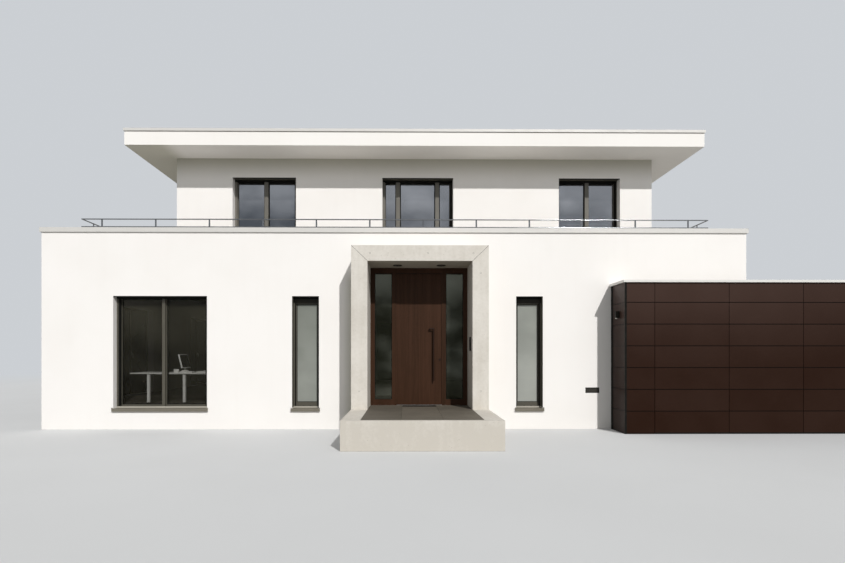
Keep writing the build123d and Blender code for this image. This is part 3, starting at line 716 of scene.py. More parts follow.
    # painted shade: a dark copy of the opal lens, for lenses in shade
    SHADED_LENS = OpalLens("lens painted in shade", srgb(84, 81, 74), srgb(58, 56, 50))


def about(length: float, middle: float = 0.0) -> Limits:
    """Give the limits of a length that lies about its middle."""
    return middle - length / 2, middle + length / 2


def span(start: float, length: float) -> Limits:
    """Give the limits of a length from its start."""
    return start, start + length


def ordered(one: float, other: float) -> Limits:
    """Give two numbers as limits, the lower one first."""
    return min(one, other), max(one, other)


class Shape:
    """Closed solids with eased edges, gathered in one mesh."""

    def __init__(self) -> None:
        """Start with an empty mesh."""
        self.mesh = bmesh.new()

    def _ease(self, verts: list, amount: float, steps: int) -> "Shape":
        """Round the edges of the solid that was made last, and give the shape."""
        if amount > 0:
            edges = {edge for vert in verts for edge in vert.link_edges}
            sharp = [edge for edge in edges if edge.calc_face_angle(0.0) > EDGE_ANGLE]
            bmesh.ops.bevel(
                self.mesh, geom=sharp, offset=amount, segments=steps, profile=0.5, affect="EDGES"
            )
        return self

    def box(self, x: Limits, y: Limits, z: Limits, ease: float = 0.0, steps: int = 1) -> "Shape":
        """Add a box.

        Args:
            x, y, z: Its limits along each axis.
            ease: How far its edges are cut back.
            steps: How many facets each edge gets.

        Returns:
            The shape itself.
        """
        verts = bmesh.ops.create_cube(self.mesh, size=2.0)["verts"]
        for vert in verts:
            vert.co = Vector([high if at > 0 else low for (low, high), at in zip((x, y, z), vert.co)])
        return self._ease(verts, ease, steps)

    def rod(
        self, start: Point, end: Point, radius: float, sides: int = 20, ease: float = 0.0
    ) -> "Shape":
        """Add a round rod between two points.

        Args:
            start: One end of its axis.
            end: The other end.
            radius: Its radius.
            sides: How many flats it has.
            ease: How far its rims are cut back.

        Returns:
            The shape itself.
        """
        way = Vector(end) - Vector(start)
        turn = way.to_track_quat("Z", "Y").to_matrix().to_4x4()
        place = Matrix.Translation((Vector(start) + Vector(end)) / 2) @ turn
        sizes = {"radius1": radius, "radius2": radius, "depth": way.length, "matrix": place}
        made = bmesh.ops.create_cone(self.mesh, cap_ends=True, segments=sides, **sizes)
        return self._ease(made["verts"], ease, 2)

    def prism(self, outline: Sequence[Point], way: Point) -> "Shape":
        """Add a prism.

        Args:
            outline: The corners of one end, in order.
            way: From that end to the other.

        Returns:
            The shape itself.
        """
        near = [self.mesh.verts.new(corner) for corner in outline]
        far = [self.mesh.verts.new(Vector(corner) + Vector(way)) for corner in outline]
        faces = [self.mesh.faces.new(near), self.mesh.faces.new(far[::-1])]
        for number, corner in enumerate(near):
            ends = (corner, far[number], far[number - 1], near[number - 1])
            faces.append(self.mesh.faces.new(ends))
        bmesh.ops.recalc_face_normals(self.mesh, faces=faces)
        return self

    def ball(self, middle: Point, radius: float, sides: int = 24) -> "Shape":
        """Add a ball."""
        place = Matrix.Translation(Vector(middle))
        bmesh.ops.create_uvsphere(
            self.mesh, u_segments=sides, v_segments=sides // 2, radius=radius, matrix=place
        )
        return self

    def object(self, name: str) -> Piece:
        """Turn the solids into one object at the origin.

        Args:
            name: The object's name.

        Returns:
            The object, in the scene.
        """
        data = bpy.data.meshes.new(name)
        self.mesh.to_mesh(data)
        self.mesh.free()
        return stand(name, data)

    def deliver(self, name: str, finish: Finish, slot: Slot, body: Body = Body.HOUSE) -> None:
        """Turn the solids into one object and hand it over."""
        hand_over(self.object(name), finish, slot, body)


def stand(name: str, data: bpy.types.Mesh) -> Piece:
    """Put a mesh into the scene as an object at the origin, smooth but for its edges.

    Args:
        name: The object's name.
        data: Its mesh.

    Returns:
        The object.
    """
    data.name = name
    data.shade_smooth()
    data.set_sharp_from_angle(angle=SMOOTH_ANGLE)
    piece = bpy.data.objects.new(name, data)
    bpy.context.scene.collection.objects.link(piece)
    return piece


def paint(piece: Piece, finish: Finish) -> None:
    """Give a piece one material."""
    piece.data.materials.clear()
    piece.data.materials.append(finish.material())


def hand_over(
    piece: Piece, finish: Finish, slot: Slot, body: Body = Body.HOUSE, replaced: Sequence[str] = ()
) -> None:
    """Finish a piece: give it its material and body, and report it.

    Args:
        piece: The piece, in place.
        finish: Its finish.
        slot: Not used.
        body: The body that it rides on.
        replaced: The nodes that it stands for.
    """
    paint(piece, finish)
    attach(piece, body.value)
    if replaced:
        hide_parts(*replaced)
    LOG.info("%s: %d faces, rides on %s", piece.name, len(piece.data.polygons), body.value)


def joined(name: str, pieces: Sequence[Piece]) -> Piece:
    """Join several objects, which are used up, into a new one."""
    shape = Shape()
    for piece in pieces:
        shape.mesh.from_mesh(piece.data)
        bpy.data.objects.remove(piece)
    return shape.object(name)


class Block(NamedTuple):
    """The box of one solid or node, which may be a pane, frame or wall seen from outside."""

    low: Vector
    high: Vector

    @property
    def middle(self) -> Vector:
        """Give the block's middle."""
        return (self.low + self.high) / 2

    @property
    def across(self) -> int:
        """Give the axis that the block is thin along."""
        return 0 if self.high.x - self.low.x < self.high.y - self.low.y else 1

    @property
    def outwards(self) -> int:
        """Give +1 or -1 for the way out of the house along that axis."""
        return 1 if self.low[self.across] + self.high[self.across] > 0 else -1

    @property
    def face(self) -> float:
        """Give the place of the block's outer face along that axis."""
        return self.high[self.across] if self.outwards > 0 else self.low[self.across]

    @property
    def along(self) -> Limits:
        """Give the block's limits along the wall."""
        return self.low[1 - self.across], self.high[1 - self.across]

    @property
    def thickness(self) -> float:
        """Give the block's thickness."""
        return self.high[self.across] - self.low[self.across]

    def add_box(
        self, shape: Shape, along: Limits, depth: Limits, height: Limits, ease: float = USUAL_EASE
    ) -> None:
        """Add a box that is placed from the block's outer face.

        Args:
            shape: The shape that takes it.
            along: Its limits along the wall, in either order.
            depth: Its limits inwards from the block's outer face.
            height: Its limits in height.
            ease: How far its edges are cut back.
        """
        deep = ordered(*(self.face - self.outwards * reach for reach in depth))
        x, y = (deep, ordered(*along)) if self.across == 0 else (ordered(*along), deep)
        shape.box(x, y, height, ease)

    def add_ring(self, shape: Shape, width: float, depth: Limits, inset: float, ease: float) -> None:
        """Add four bars that follow the block's edge.

        Args:
            shape: The shape that takes them.
            width: The bars' width.
            depth: Their limits inwards from the block's outer face.
            inset: How far they stand in from the block's edge.
            ease: How far their edges are cut back.
        """
        low, high = self.along[0] + inset, self.along[1] - inset
        bottom, top = self.low.z + inset, self.high.z - inset
        for start in (low, high - width):
            self.add_box(shape, span(start, width), depth, (bottom, top), ease)
        for start in (bottom, top - width):
            self.add_box(shape, (low + width, high - width), depth, span(start, width), ease)


def islands(node: str) -> list[Block]:
    """Find the separate solids of a node.

    Args:
        node: The node's name.

    Returns:
        The block of each solid, from the lowest X and Y on.
    """
    mesh = bmesh.new()
    mesh.from_mesh(frame["nodes"][node].data)
    bmesh.ops.remove_doubles(mesh, verts=mesh.verts, dist=MERGE_DISTANCE)
    left = set(mesh.verts)
    found = []
    while left:
        group, edge = [], [left.pop()]
        while edge:
            vert = edge.pop()
            group.append(vert.co.copy())
            fresh = {link.other_vert(vert) for link in vert.link_edges} & left
            left -= fresh
            edge += fresh
        corners = [[end(co[axis] for co in group) for axis in range(3)] for end in (min, max)]
        found.append(Block(*map(Vector, corners)))
    mesh.free()
    return sorted(found, key=lambda block: tuple(round(value, 4) for value in block.low))


class GeometryTree(NodeGraph):
    """A Geometry Nodes tree with named inputs, and the mesh that it makes."""

    def __init__(self, name: str) -> None:
        """Start a tree with one geometry output."""
        super().__init__(bpy.data.node_groups.new(name, "GeometryNodeTree"))
        self.tree.interface.new_socket("Geometry", in_out="OUTPUT", socket_type="NodeSocketGeometry")
        self.source = self.tree.nodes.new("NodeGroupInput")
        self.sink = self.tree.nodes.new("NodeGroupOutput")
        self.sockets: dict[str, str] = {}

    def take(self, name: str, kind: str) -> Signal:
        """Add a named input and give its value inside the tree."""
        made = self.tree.interface.new_socket(name, in_out="INPUT", socket_type=f"NodeSocket{kind}")
        self.sockets[name] = made.identifier
        return Signal(self, self.source.outputs[name])

    def taken(self, name: str) -> Signal:
        """Add a named input for an object and give its geometry."""
        held = {"Object": self.take(name, "Object")}
        return self.node("GeometryNodeObjectInfo", inputs=held, output="Geometry")

    def close(self, points: Signal, inputs: dict) -> None:
        """End the tree: the prototype on points, each copy with a random shade, as real geometry.

        Args:
            points: The points.
            inputs: More inputs of the node that places the copies.
        """
        seed = self.take("Seed", "Int")
        placed = {"Points": points, "Instance": self.taken("Prototype"), **inputs}
        copies = self.node("GeometryNodeInstanceOnPoints", inputs=placed)
        chance = self.node("FunctionNodeRandomValue", {"data_type": "FLOAT"}, {"Seed": seed}, 1)
        shaded = self.node(
            "GeometryNodeStoreNamedAttribute",
            {"data_type": "FLOAT", "domain": "INSTANCE"},
            {"Geometry": copies, "Name": "shade", "Value": chance},
        )
        real = self.node("GeometryNodeRealizeInstances", inputs={"Geometry": shaded})
        look = {"Geometry": real, "Material": self.take("Material", "Material")}
        self.tree.links.new(self.node("GeometryNodeSetMaterial", inputs=look).socket, self.sink.inputs[0])

    def run(
        self, name: str, prototype: Piece, finish: Finish, values: dict, seed: int = 1
    ) -> Piece:
        """Run the tree once and keep the result as a plain mesh.

        Args:
            name: The new object's name.
            prototype: The shape to copy, made about the origin; it is used up.
            finish: The finish of the copies.
            values: The value of each other named input.
            seed: The seed of the random shades.

        Returns:
            One object with all the copies.
        """
        holder = bpy.data.objects.new(f"{name}_holder", bpy.data.meshes.new(f"{name}_holder"))
        bpy.context.scene.collection.objects.link(holder)
        modifier = holder.modifiers.new("tree", "NODES")
        modifier.node_group = self.tree
        shared = {"Prototype": prototype, "Seed": seed, "Material": finish.material()}
        for label, value in {**values, **shared}.items():
            modifier[self.sockets[label]] = value
        graph = bpy.context.evaluated_depsgraph_get()
        data = bpy.data.meshes.new_from_object(holder.evaluated_get(graph))
        holder.modifiers.remove(modifier)
        for used in (holder, prototype):
            bpy.data.objects.remove(used)
        return stand(name, data)


class RowTree(GeometryTree):
    """Repeats a prototype in rows and columns."""

    def __init__(self) -> None:
        """Build the tree."""
        super().__init__("Repeat in rows")
        start = self.take("Start", "Vector")
        columns = self._line("A", {"Start Location": start})
        crossed = {"Points": columns, "Instance": self._line("B", {})}
        points = self.node("GeometryNodeInstanceOnPoints", inputs=crossed)
        real = self.node("GeometryNodeRealizeInstances", inputs={"Geometry": points})
        self.close(real, {"Rotation": self.take("Turn", "Vector")})

    def _line(self, name: str, start: dict) -> Signal:
        """Add a line of points with named inputs for its step and count."""
        count, step = self.take(f"Count {name}", "Int"), self.take(f"Step {name}", "Vector")
        inputs = {"Count": count, "Offset": step, **start}
        return self.node("GeometryNodeMeshLine", {"mode": "OFFSET"}, inputs)

    def repeat(
        self,
        name: str,
        prototype: Piece,
        finish: Finish,
        start: Point,
        steps: Sequence[tuple[Point, int]],
        turn: Triple = NO_TURN,
        seed: int = 1,
    ) -> Piece:
        """Repeat a prototype, which is used up.

        Args:
            name: The new object's name.
            prototype: The shape to repeat, made about the origin.
            finish: The finish of the copies.
            start: Where the first copy goes.
            steps: One or two ways to go on: from one copy to the next, and how many there are.
            turn: How each copy is turned.
            seed: The seed of the random shades.

        Returns:
            One object with all the copies.
        """
        values = {"Start": tuple(start), "Turn": turn}
        for label, (step, count) in zip("AB", (*steps, (NO_TURN, 1))):
            values |= {f"Step {label}": tuple(step), f"Count {label}": count}
        return self.run(name, prototype, finish, values, seed)


class SpotTree(GeometryTree):
    """Puts a prototype on given spots, each with its own turn."""

    def __init__(self) -> None:
        """Build the tree."""
        super().__init__("Place on spots")
        kind = {"data_type": "FLOAT_VECTOR"}
        turn = self.node("GeometryNodeInputNamedAttribute", kind, {"Name": "turn"})
        self.close(self.taken("Spots"), {"Rotation": turn})

    def place(
        self, name: str, prototype: Piece, finish: Finish, spots: Sequence[Spot]
    ) -> Piece:
        """Place a prototype, which is used up.

        Args:
            name: The new object's name.
            prototype: The shape to place, made about the origin.
            finish: The finish of the copies.
            spots: The place and the turn of each copy.

        Returns:
            One object with all the copies.
        """
        data = bpy.data.meshes.new(f"{name}_spots")
        data.from_pydata([tuple(at) for at, _ in spots], [], [])
        turns = data.attributes.new("turn", "FLOAT_VECTOR", "POINT")
        for entry, (_, turn) in zip(turns.data, spots):
            entry.vector = turn
        holder = stand(f"{name}_spots", data)
        made = self.run(name, prototype, finish, {"Spots": holder})
        bpy.data.objects.remove(holder)
        return made


class ScatterTree(GeometryTree):
    """Scatters stones of one prototype over a flat rectangle."""

    def __init__(self) -> None:
        """Build the tree."""
        super().__init__("Scatter stones")
        sizes = {"Size X": self.take("Width", "Float"), "Size Y": self.take("Depth", "Float")}
        sheet = self.node("GeometryNodeMeshGrid", inputs=sizes)
        moved = {"Geometry": sheet, "Translation": self.take("Middle", "Vector")}
        draw = {"Seed": self.take("Draw", "Int")}
        placed = self.node("GeometryNodeTransform", inputs=moved)
        cover = {"Mesh": placed, "Density": self.take("Density", "Float"), **draw}
        points = self.node("GeometryNodeDistributePointsOnFaces", inputs=cover)
        chance = "FunctionNodeRandomValue"
        turn = self.node(chance, {"data_type": "FLOAT_VECTOR"}, {"Max": (0.5, 0.5, math.tau), **draw})
        limits = {2: self.take("Least", "Float"), 3: self.take("Most", "Float")}
        size = self.node(chance, {"data_type": "FLOAT"}, {**limits, **draw}, 1)
        self.close(points, {"Rotation": turn, "Scale": size})


@dataclass(frozen=True)
class Trees:
    """The trees that all the details share."""

    rows: RowTree
    spots: SpotTree
    scatter: ScatterTree


@dataclass
class Detail:
    """One sub-assembly of fine pieces."""

    trees: Trees

    def build(self) -> None:
        """Make the pieces and hand them over."""
        raise NotImplementedError


@dataclass(frozen=True)
class StudioFloor(Finish):
    """A pale floor that fades into the backdrop and throws soft light back."""

    pale: Triple
    bounce: Triple
    backdrop: Triple
    fade: Limits = (17.0, 40.0)

    def paint(self, graph: ShaderGraph) -> None:
        """Build the floor's nodes."""
        seen = graph.seen()
        away = graph.node("ShaderNodeVectorMath", {"operation": "LENGTH"}, {0: graph.place()}, "Value")
        eyed = graph.mix(graph.noise(0.4, 3.0).soft() * 0.06, self.pale, self.bounce)
        floor = graph.principled(base=graph.mix(seen, self.bounce, eyed), rough=0.9, specular=0.1)
        glow = graph.node("ShaderNodeEmission", inputs={"Color": self.backdrop, "Strength": 1.0})
        shown = {0: away.ramp(*self.fade) * seen, 1: floor, 2: glow}
        surface = graph.node("ShaderNodeMixShader", inputs=shown)
        graph.node("ShaderNodeOutputMaterial", inputs={"Surface": surface})


@dataclass
class Studio:
    """The pale floor, the soft light and the camera at the photo's place."""

    floor_reach: float = 60.0
    floor_top: float = -0.002
    floor_thick: float = 0.05
    floor_bounce: Triple = (0.42, 0.42, 0.41)
    floor_pale: Triple = (0.66, 0.665, 0.67)
    backdrop: Triple = (0.60, 0.625, 0.655)
    sun_way: Triple = (-0.385, 1.0, -0.80)
    sun_colour: Triple = (1.0, 0.987, 0.968)
    sun_strength: float = 2.82
    sun_softness: float = math.radians(1.2)
    sky_colour: Triple = (0.95, 0.98, 1.0)
    sky_strength: float = 0.42
    camera_place: Triple = (0.2195, -17.06, 1.562)
    camera_turn: float = -0.0097
    lens: float = 24.0
    sensor: float = 36.0
    shift: Limits = (0.0122, 0.0846)

    def build(self) -> None:
        """Make the floor, the light and the camera."""
        self._floor()
        self._sky()
        self._sun()
        self._camera()
        bpy.context.scene.view_settings.view_transform = "Standard"
        LOG.info("studio built")

    def _floor(self) -> None:
        """Lay the pale floor."""
        reach, top = (-self.floor_reach, self.floor_reach), self.floor_top
        floor = Shape().box(reach, reach, (top - self.floor_thick, top)).object("studio_floor")
        paint(floor, StudioFloor("studio floor", self.floor_pale, self.floor_bounce, self.backdrop))
        floor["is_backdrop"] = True

    def _sky(self) -> None:
        """Light from all round, with a pale background for eye, gloss and glass."""
        world = bpy.data.worlds.new("studio sky")
        bpy.context.scene.world = world
        world.use_nodes = True
        graph = ShaderGraph(world.node_tree)
        kind = "ShaderNodeBackground"
        light = graph.node(kind, inputs={"Color": self.sky_colour, "Strength": self.sky_strength})
        backdrop = graph.node(kind, inputs={"Color": self.backdrop, "Strength": 1.0})
        shown = graph.node("ShaderNodeMixShader", inputs={0: graph.seen(), 1: light, 2: backdrop})
        graph.node("ShaderNodeOutputWorld", inputs={"Surface": shown})

    def _sun(self) -> None:
        """Hang the main lamp where the photo's shadows put it."""
        lamp = bpy.data.lights.new("studio sun", "SUN")
        lamp.energy = self.sun_strength
        lamp.angle = self.sun_softness
        lamp.color = self.sun_colour
        holder = bpy.data.objects.new("studio sun", lamp)
        holder.rotation_euler = Vector(self.sun_way).to_track_quat("-Z", "Y").to_euler()
        bpy.context.scene.collection.objects.link(holder)

    def _camera(self) -> None:
        """Stand the camera where the photo was taken from."""
        data = bpy.data.cameras.new("camera")
        data.lens = self.lens
        data.sensor_width = self.sensor
        data.shift_x, data.shift_y = self.shift
        camera = bpy.data.objects.new("camera", data)
        camera.location = self.camera_place
        camera.rotation_euler = (math.pi / 2, 0.0, self.camera_turn)
        bpy.context.scene.collection.objects.link(camera)
        bpy.context.scene.camera = camera


class Carcass:
    """The CAD nodes, each dressed in the finish of its slot, and some in their own."""

    special = {
        "upper_window_frames": Palette.UPPER_FRAME,
        "upper_window_glass": Palette.MIRRORED,
        "door_handles": Palette.BRONZE,
        "rear_window_glass": Palette.SHADED,
        "side_window_glass": Palette.SHADED,
        "sidelight_glass": Palette.ENTRANCE,
        "garage_side_cladding": Palette.SIDE_PANEL,
        "window_sills": Palette.SILL,
        "foot_grille": Palette.GRILLE,
        "ground_slab": Palette.FLOOR,
    }

    def dress(self) -> None:
        """Give every node its finish."""
        for part in frame["record"]["subparts"]:
            node = part["node"]
            finish = self.special.get(node) or getattr(Palette, Slot(part["material_slot"]).name)
            paint(frame["nodes"][node], finish)
            LOG.info("node %s: %s", node, finish.name)


@dataclass
class GlazingDetail(Detail):
    """Seals, spacers, handles and drain caps of every window."""

    windows: tuple[str, ...] = ("study_window", "slim_window", "upper_window", "side_window", "rear_window")
    seal: float = 0.009
    seal_proud: float = 0.004
    seal_share: float = 0.25
    spacer: float = 0.014
    spacer_inset: float = 0.004
    spacer_shares: Limits = (0.3, 0.7)
    frame_inside: float = 0.049
    frame_outside: float = -0.026
    bar: float = 0.25
    handle_level: float = 1.05
    handle_inset: float = 0.03
    handle: tuple[tuple[float, Limits, Limits], ...] = (
        (0.028, (0.0, 0.009), (-0.065, 0.065)),
        (0.016, (0.009, 0.036), (-0.009, 0.009)),
        (0.020, (0.034, 0.047), (-0.112, 0.014)),
    )
    handle_ease: float = 0.003
    cap: Limits = (0.032, 0.010)
    cap_depth: Limits = (-0.003, 0.002)
    cap_drop: float = 0.078
    cap_inset: float = 0.14

    def build(self) -> None:
        """Make the fine pieces of each glass node and hand them over."""
        handles, caps = Shape(), Shape()
        for stem in (*self.windows, "sidelight"):
            panes = islands(f"{stem}_glass")
            self._edges(stem, panes)
            if stem in self.windows:
                for pane in panes:
                    if stem == "slim_window" or any(self._beside(pane, other) for other in panes):
                        self._handle(handles, pane)
                    if pane.low.z < self.handle_level:
                        self._caps(caps, pane)
        handles.deliver("window_handles", Palette.STEEL, Slot.STEEL)
        caps.deliver("window_drain_caps", Palette.LAMP_METAL, Slot.LAMP_METAL)

    def _edges(self, stem: str, panes: Sequence[Block]) -> None:
        """Run a seal round both faces of each pane, and a spacer inside it."""
        seals, spacers = Shape(), Shape()
        for pane in panes:
            thick, proud = pane.thickness, self.seal_proud
            bite = thick * self.seal_share
            for depth in ((-proud, bite), (thick - bite, thick + proud)):
                pane.add_ring(seals, self.seal, depth, 0.0, USUAL_EASE)
            depth = tuple(thick * share for share in self.spacer_shares)
            pane.add_ring(spacers, self.spacer, depth, self.spacer_inset, 0.0)
        seals.deliver(f"{stem}_seals", Palette.RUBBER, Slot.FRAME_METAL)
        spacers.deliver(f"{stem}_spacers", Palette.RUBBER, Slot.FRAME_METAL)

    def _beside(self, pane: Block, other: Block) -> bool:
        """Tell whether another pane of the same window lies just below this one's start."""
        same_wall = (pane.low - other.low)[pane.across] == 0 and pane.low.z == other.low.z
        return same_wall and 0 < pane.along[0] - other.along[1] < self.bar

    def _handle(self, shape: Shape, pane: Block) -> None:
        """Add a handle on the room side of the sash, beside the pane."""
        level, along = pane.low.z + self.handle_level, pane.along[0] - self.handle_inset
        for width, depth, height in self.handle:
            reach = (self.frame_inside + depth[0], self.frame_inside + depth[1])
            rise = (level + height[0], level + height[1])
            pane.add_box(shape, about(width, along), reach, rise, self.handle_ease)

    def _caps(self, shape: Shape, pane: Block) -> None:
        """Add the two caps of the frame's drain slots, below the pane."""
        wide, tall = self.cap
        depth = tuple(self.frame_outside + reach for reach in self.cap_depth)
        for along in (pane.along[0] + self.cap_inset, pane.along[1] - self.cap_inset):
            pane.add_box(shape, about(wide, along), depth, about(tall, pane.low.z - self.cap_drop))


@dataclass
class RevealDetail(Detail):
    """What closes each window's reveal: the slot brush and its carrier, head sheets and guide slots; the
    black brush, the guide slots and the slim windows' head plates are painted shade as well.
    """

    windows: tuple[str, ...] = (
        "study_window_frame", "slim_window_frames", "upper_window_frames",
        "side_window_frames", "rear_window_frames",
    )
    brush: float = 0.048
    gap: float = 0.001
    thick: float = 0.007
    carrier: Limits = (0.016, 0.012)
    sheet: float = 0.003
    play: float = 0.002
    hair: float = 0.0005
    drip: float = 0.02
    box_height: float = 0.131
    reveals: Limits = (0.14, 0.20)
    upper_floor: float = 3.0
    rail: float = 0.0575
    slim_guide: Limits = (0.031, 0.0455)
    lower_guide: Limits = (0.036, 0.0735)
    upper_guide: Limits = (0.014, 0.0575)
    guide_depth: float = -0.0012
    head_seal: Limits = (0.0495, 0.0435)
    jamb_foot: float = 0.018
    gasket: Limits = (-0.016, -0.001)
    lap: float = 0.003
    bar: float = 0.25
    middle: float = 1.2
    brush_and_shade_strips: Shape = field(default_factory=Shape)
    carrier_and_shade_plates: Shape = field(default_factory=Shape)
    sheets: Shape = field(default_factory=Shape)

    def build(self) -> None:
        """Make the linings of all windows."""
        for node in self.windows:
            slim, upper = node.startswith("slim"), node.startswith("upper")
            for window in islands(node):
                self._head(window)
                self._jambs(window, slim)
                start, end, head = *window.along, window.high.z
                # painted shade: a black band under the upper windows' head
                if upper:
                    top = head - self.hair
                    level = (top - self.head_seal[0], top - self.head_seal[1])
                    along = (start + self.rail, end - self.rail)
                    window.add_box(self.brush_and_shade_strips, along, (self.gap, self.rail), level, 0.0)
                # painted shade: a dark plate over the slim windows' head frame, where the lintel's shadow
                # falls
                if slim:
                    along = (start + self.play, end - self.play)
                    level = (head - self.box_height, head - self.brush)
                    window.add_box(self.carrier_and_shade_plates, along, self._before(self.sheet), level)
        self.brush_and_shade_strips.deliver("reveal_brushes", Palette.RUBBER, Slot.FRAME_METAL)
        self.carrier_and_shade_plates.deliver("reveal_carriers", Palette.LAMP_METAL, Slot.FRAME_METAL)
        self.sheets.deliver("reveal_sheets", Palette.FRAME_METAL, Slot.FRAME_METAL)
        self._sash_gaps()

    def _before(self, deep: float) -> Limits:
        """Give the limits of something that stands before the frame, from its face inwards."""
        return -self.gap - deep, -self.gap

    def _outer(self, window: Block) -> float:
        """Give the reveal's outer edge, inwards from the frame's face."""
        return self.play - self.reveals[window.low.z > self.upper_floor]

    def _head(self, window: Block) -> None:
        """Add the slot brush with its carrier, and the sheet under the head with its drip; the black brush
        also paints the head's shade.
        """
        along = (window.along[0] + self.play, window.along[1] - self.play)
        outer, head, (deep, tall) = self._outer(window), window.high.z, self.carrier
        top = head - self.hair
        window.add_box(self.brush_and_shade_strips, along, self._before(self.thick), (head - self.brush, head))
        window.add_box(self.carrier_and_shade_plates, along, self._before(deep), (head - tall, head))
        window.add_box(self.sheets, along, (outer, -self.gap), (top - self.sheet, top), 0.0)
        window.add_box(self.brush_and_shade_strips, along, span(outer, self.sheet), (top - self.drip, top), self.hair)

    def _jambs(self, window: Block, slim: bool) -> None:
        """Add the guide slots, dark strips of painted shade, on the jambs that are seen, and the side
        sheets of the slim windows.
        """
        foot, head, upper = window.low.z, window.high.z, window.low.z > self.upper_floor
        near, far = self.slim_guide if slim else self.upper_guide if upper else self.lower_guide
        height = (foot + self.play, head - (self.box_height if slim else self.brush))
        both = window.across == 1 and (not upper or window.low.y > 0)
        for edge, way in zip(window.along, (1, -1)):
            # painted shade: dark guide slots on the jambs in shade
            if both or way < 0:
                inner = (edge + way * near, edge + way * far)
                window.add_box(self.brush_and_shade_strips, inner, (self.guide_depth, self.rail), height, self.hair)
            if slim:
                side = (edge + way * self.hair, edge + way * self.sheet)
                rise = (foot + self.jamb_foot, head - self.hair - self.sheet)
                window.add_box(self.sheets, side, (self._outer(window), -self.gap), rise, 0.0)

    def _sash_gaps(self) -> None:
        """Lay the black gaskets beside the bars that the opening sashes of the terrace shut against."""
        shape = Shape()
        panes = islands("upper_window_glass")
        wide = -self.gasket[0]
        for pane in panes:
            start, end = pane.along
            height, top = (pane.low.z, pane.high.z), pane.high.z
            level = (top - self.lap, top + wide - self.gap)
            pane.add_box(shape, (start, end), self.gasket, level, self.hair)
            opens = abs(start + end) < self.middle or abs(start) < abs(end)
            for other in panes:
                if 0 < start - other.along[1] < self.bar and (opens or start < 0):
                    pane.add_box(shape, (start - wide, start + self.lap), self.gasket, height, self.hair)
                if 0 < other.along[0] - end < self.bar and opens and end > 0:
                    pane.add_box(shape, (end - self.lap, end + wide), self.gasket, height, self.hair)
        shape.deliver("terrace_sash_gaskets", Palette.RUBBER, Slot.FRAME_METAL)


@dataclass
class SillDetail(Detail):
    """End caps that turn up beside the reveals on every sill, and its upstand at the frame, painted pale as
    a highlight of the sill's lit top.
    """

    sheet: float = 0.005
    play: float = 0.002
    skin: float = 0.001
    nose: float = 0.041
    rise: float = 0.016
    upstand: float = 0.032
    inset: float = 0.021
    reach: float = 0.18
    ease: float = 0.0008

    def build(self) -> None:
        """Make the end caps and the upstands of all sills."""
        caps, upstands = Shape(), Shape()
        for sill in islands("window_sills"):
            top = sill.high.z
            height = (sill.low.z - self.skin, top + self.rise)
            for end, way in zip(sill.along, (1, -1)):
                along = (end - way * self.play, end + way * self.sheet)
                sill.add_box(caps, along, (-self.skin, self.nose), height, self.ease)
            along = (sill.along[0] + self.inset, sill.along[1] - self.inset)
            depth = (self.reach - self.sheet, self.reach + self.play)
            sill.add_box(upstands, along, depth, span(top, self.upstand))
        caps.deliver("sill_end_caps", Palette.SILL, Slot.FRAME_METAL)
        upstands.deliver("sill_upstands", Palette.SILL_HIGHLIGHT, Slot.FRAME_METAL)


@dataclass
class PavingDetail(Detail):
    """Equal slabs with open joints, laid in fields in the place of a paving."""

    stem: str
    slab: float
    joint: float
    ease: float
    finish: Finish
    slot: Slot

    def fields(self) -> Iterator[tuple[Limits, Limits]]:
        """Give the limits of each field."""
        raise NotImplementedError

    def build(self) -> None:
        """Pave every field and join the slabs."""
        fields = [self._pave(x, y, seed) for seed, (x, y) in enumerate(self.fields())]
        slabs = joined(f"{self.stem}_slabs", fields)
        hand_over(slabs, self.finish, self.slot, replaced=[f"{self.stem}_paving"])

    def _pave(self, x: Limits, y: Limits, seed: int) -> Piece:
        """Pave one field.

        Args:
            x: Its limits along X.
            y: Its limits along Y.
            seed: The seed of the slabs' shades.

        Returns:
            One object with its slabs.
        """
        low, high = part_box(f"{self.stem}_paving")
        across, deep = x[1] - x[0], y[1] - y[0]
        columns, lines = max(1, round(across / self.slab)), max(1, round(deep / self.slab))
        wide, long = across / columns, deep / lines
        sizes = (wide - self.joint, long - self.joint, high.z - low.z)
        slab = Shape().box(*map(about, sizes), self.ease).object(f"{self.stem}_slab")
        start = (x[0] + wide / 2, y[0] + long / 2, (low.z + high.z) / 2)
        steps = (((wide, 0.0, 0.0), columns), ((0.0, long, 0.0), lines))
        return self.trees.rows.repeat(f"{self.stem}_field", slab, self.finish, start, steps, seed=seed)


@dataclass
class TerraceDetail(PavingDetail):
    """The slabs round the upper storey."""

    stem: str = "terrace"
    slab: float = 0.56
    joint: float = 0.004
    ease: float = 0.003
    finish: Finish = Palette.TERRACE_STONE
    slot: Slot = Slot.TERRACE_STONE

    def fields(self) -> Iterator[tuple[Limits, Limits]]:
        """Give the limits of the strip on each side of the storey."""
        low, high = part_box("terrace_paving")
        inner_low, inner_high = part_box("upper_front_wall")[0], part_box("upper_back_wall")[1]
        yield (low.x, high.x), (low.y, inner_low.y)
        yield (low.x, high.x), (inner_high.y, high.y)
        yield (low.x, inner_low.x), (inner_low.y, inner_high.y)
        yield (inner_high.x, high.x), (inner_low.y, inner_high.y)


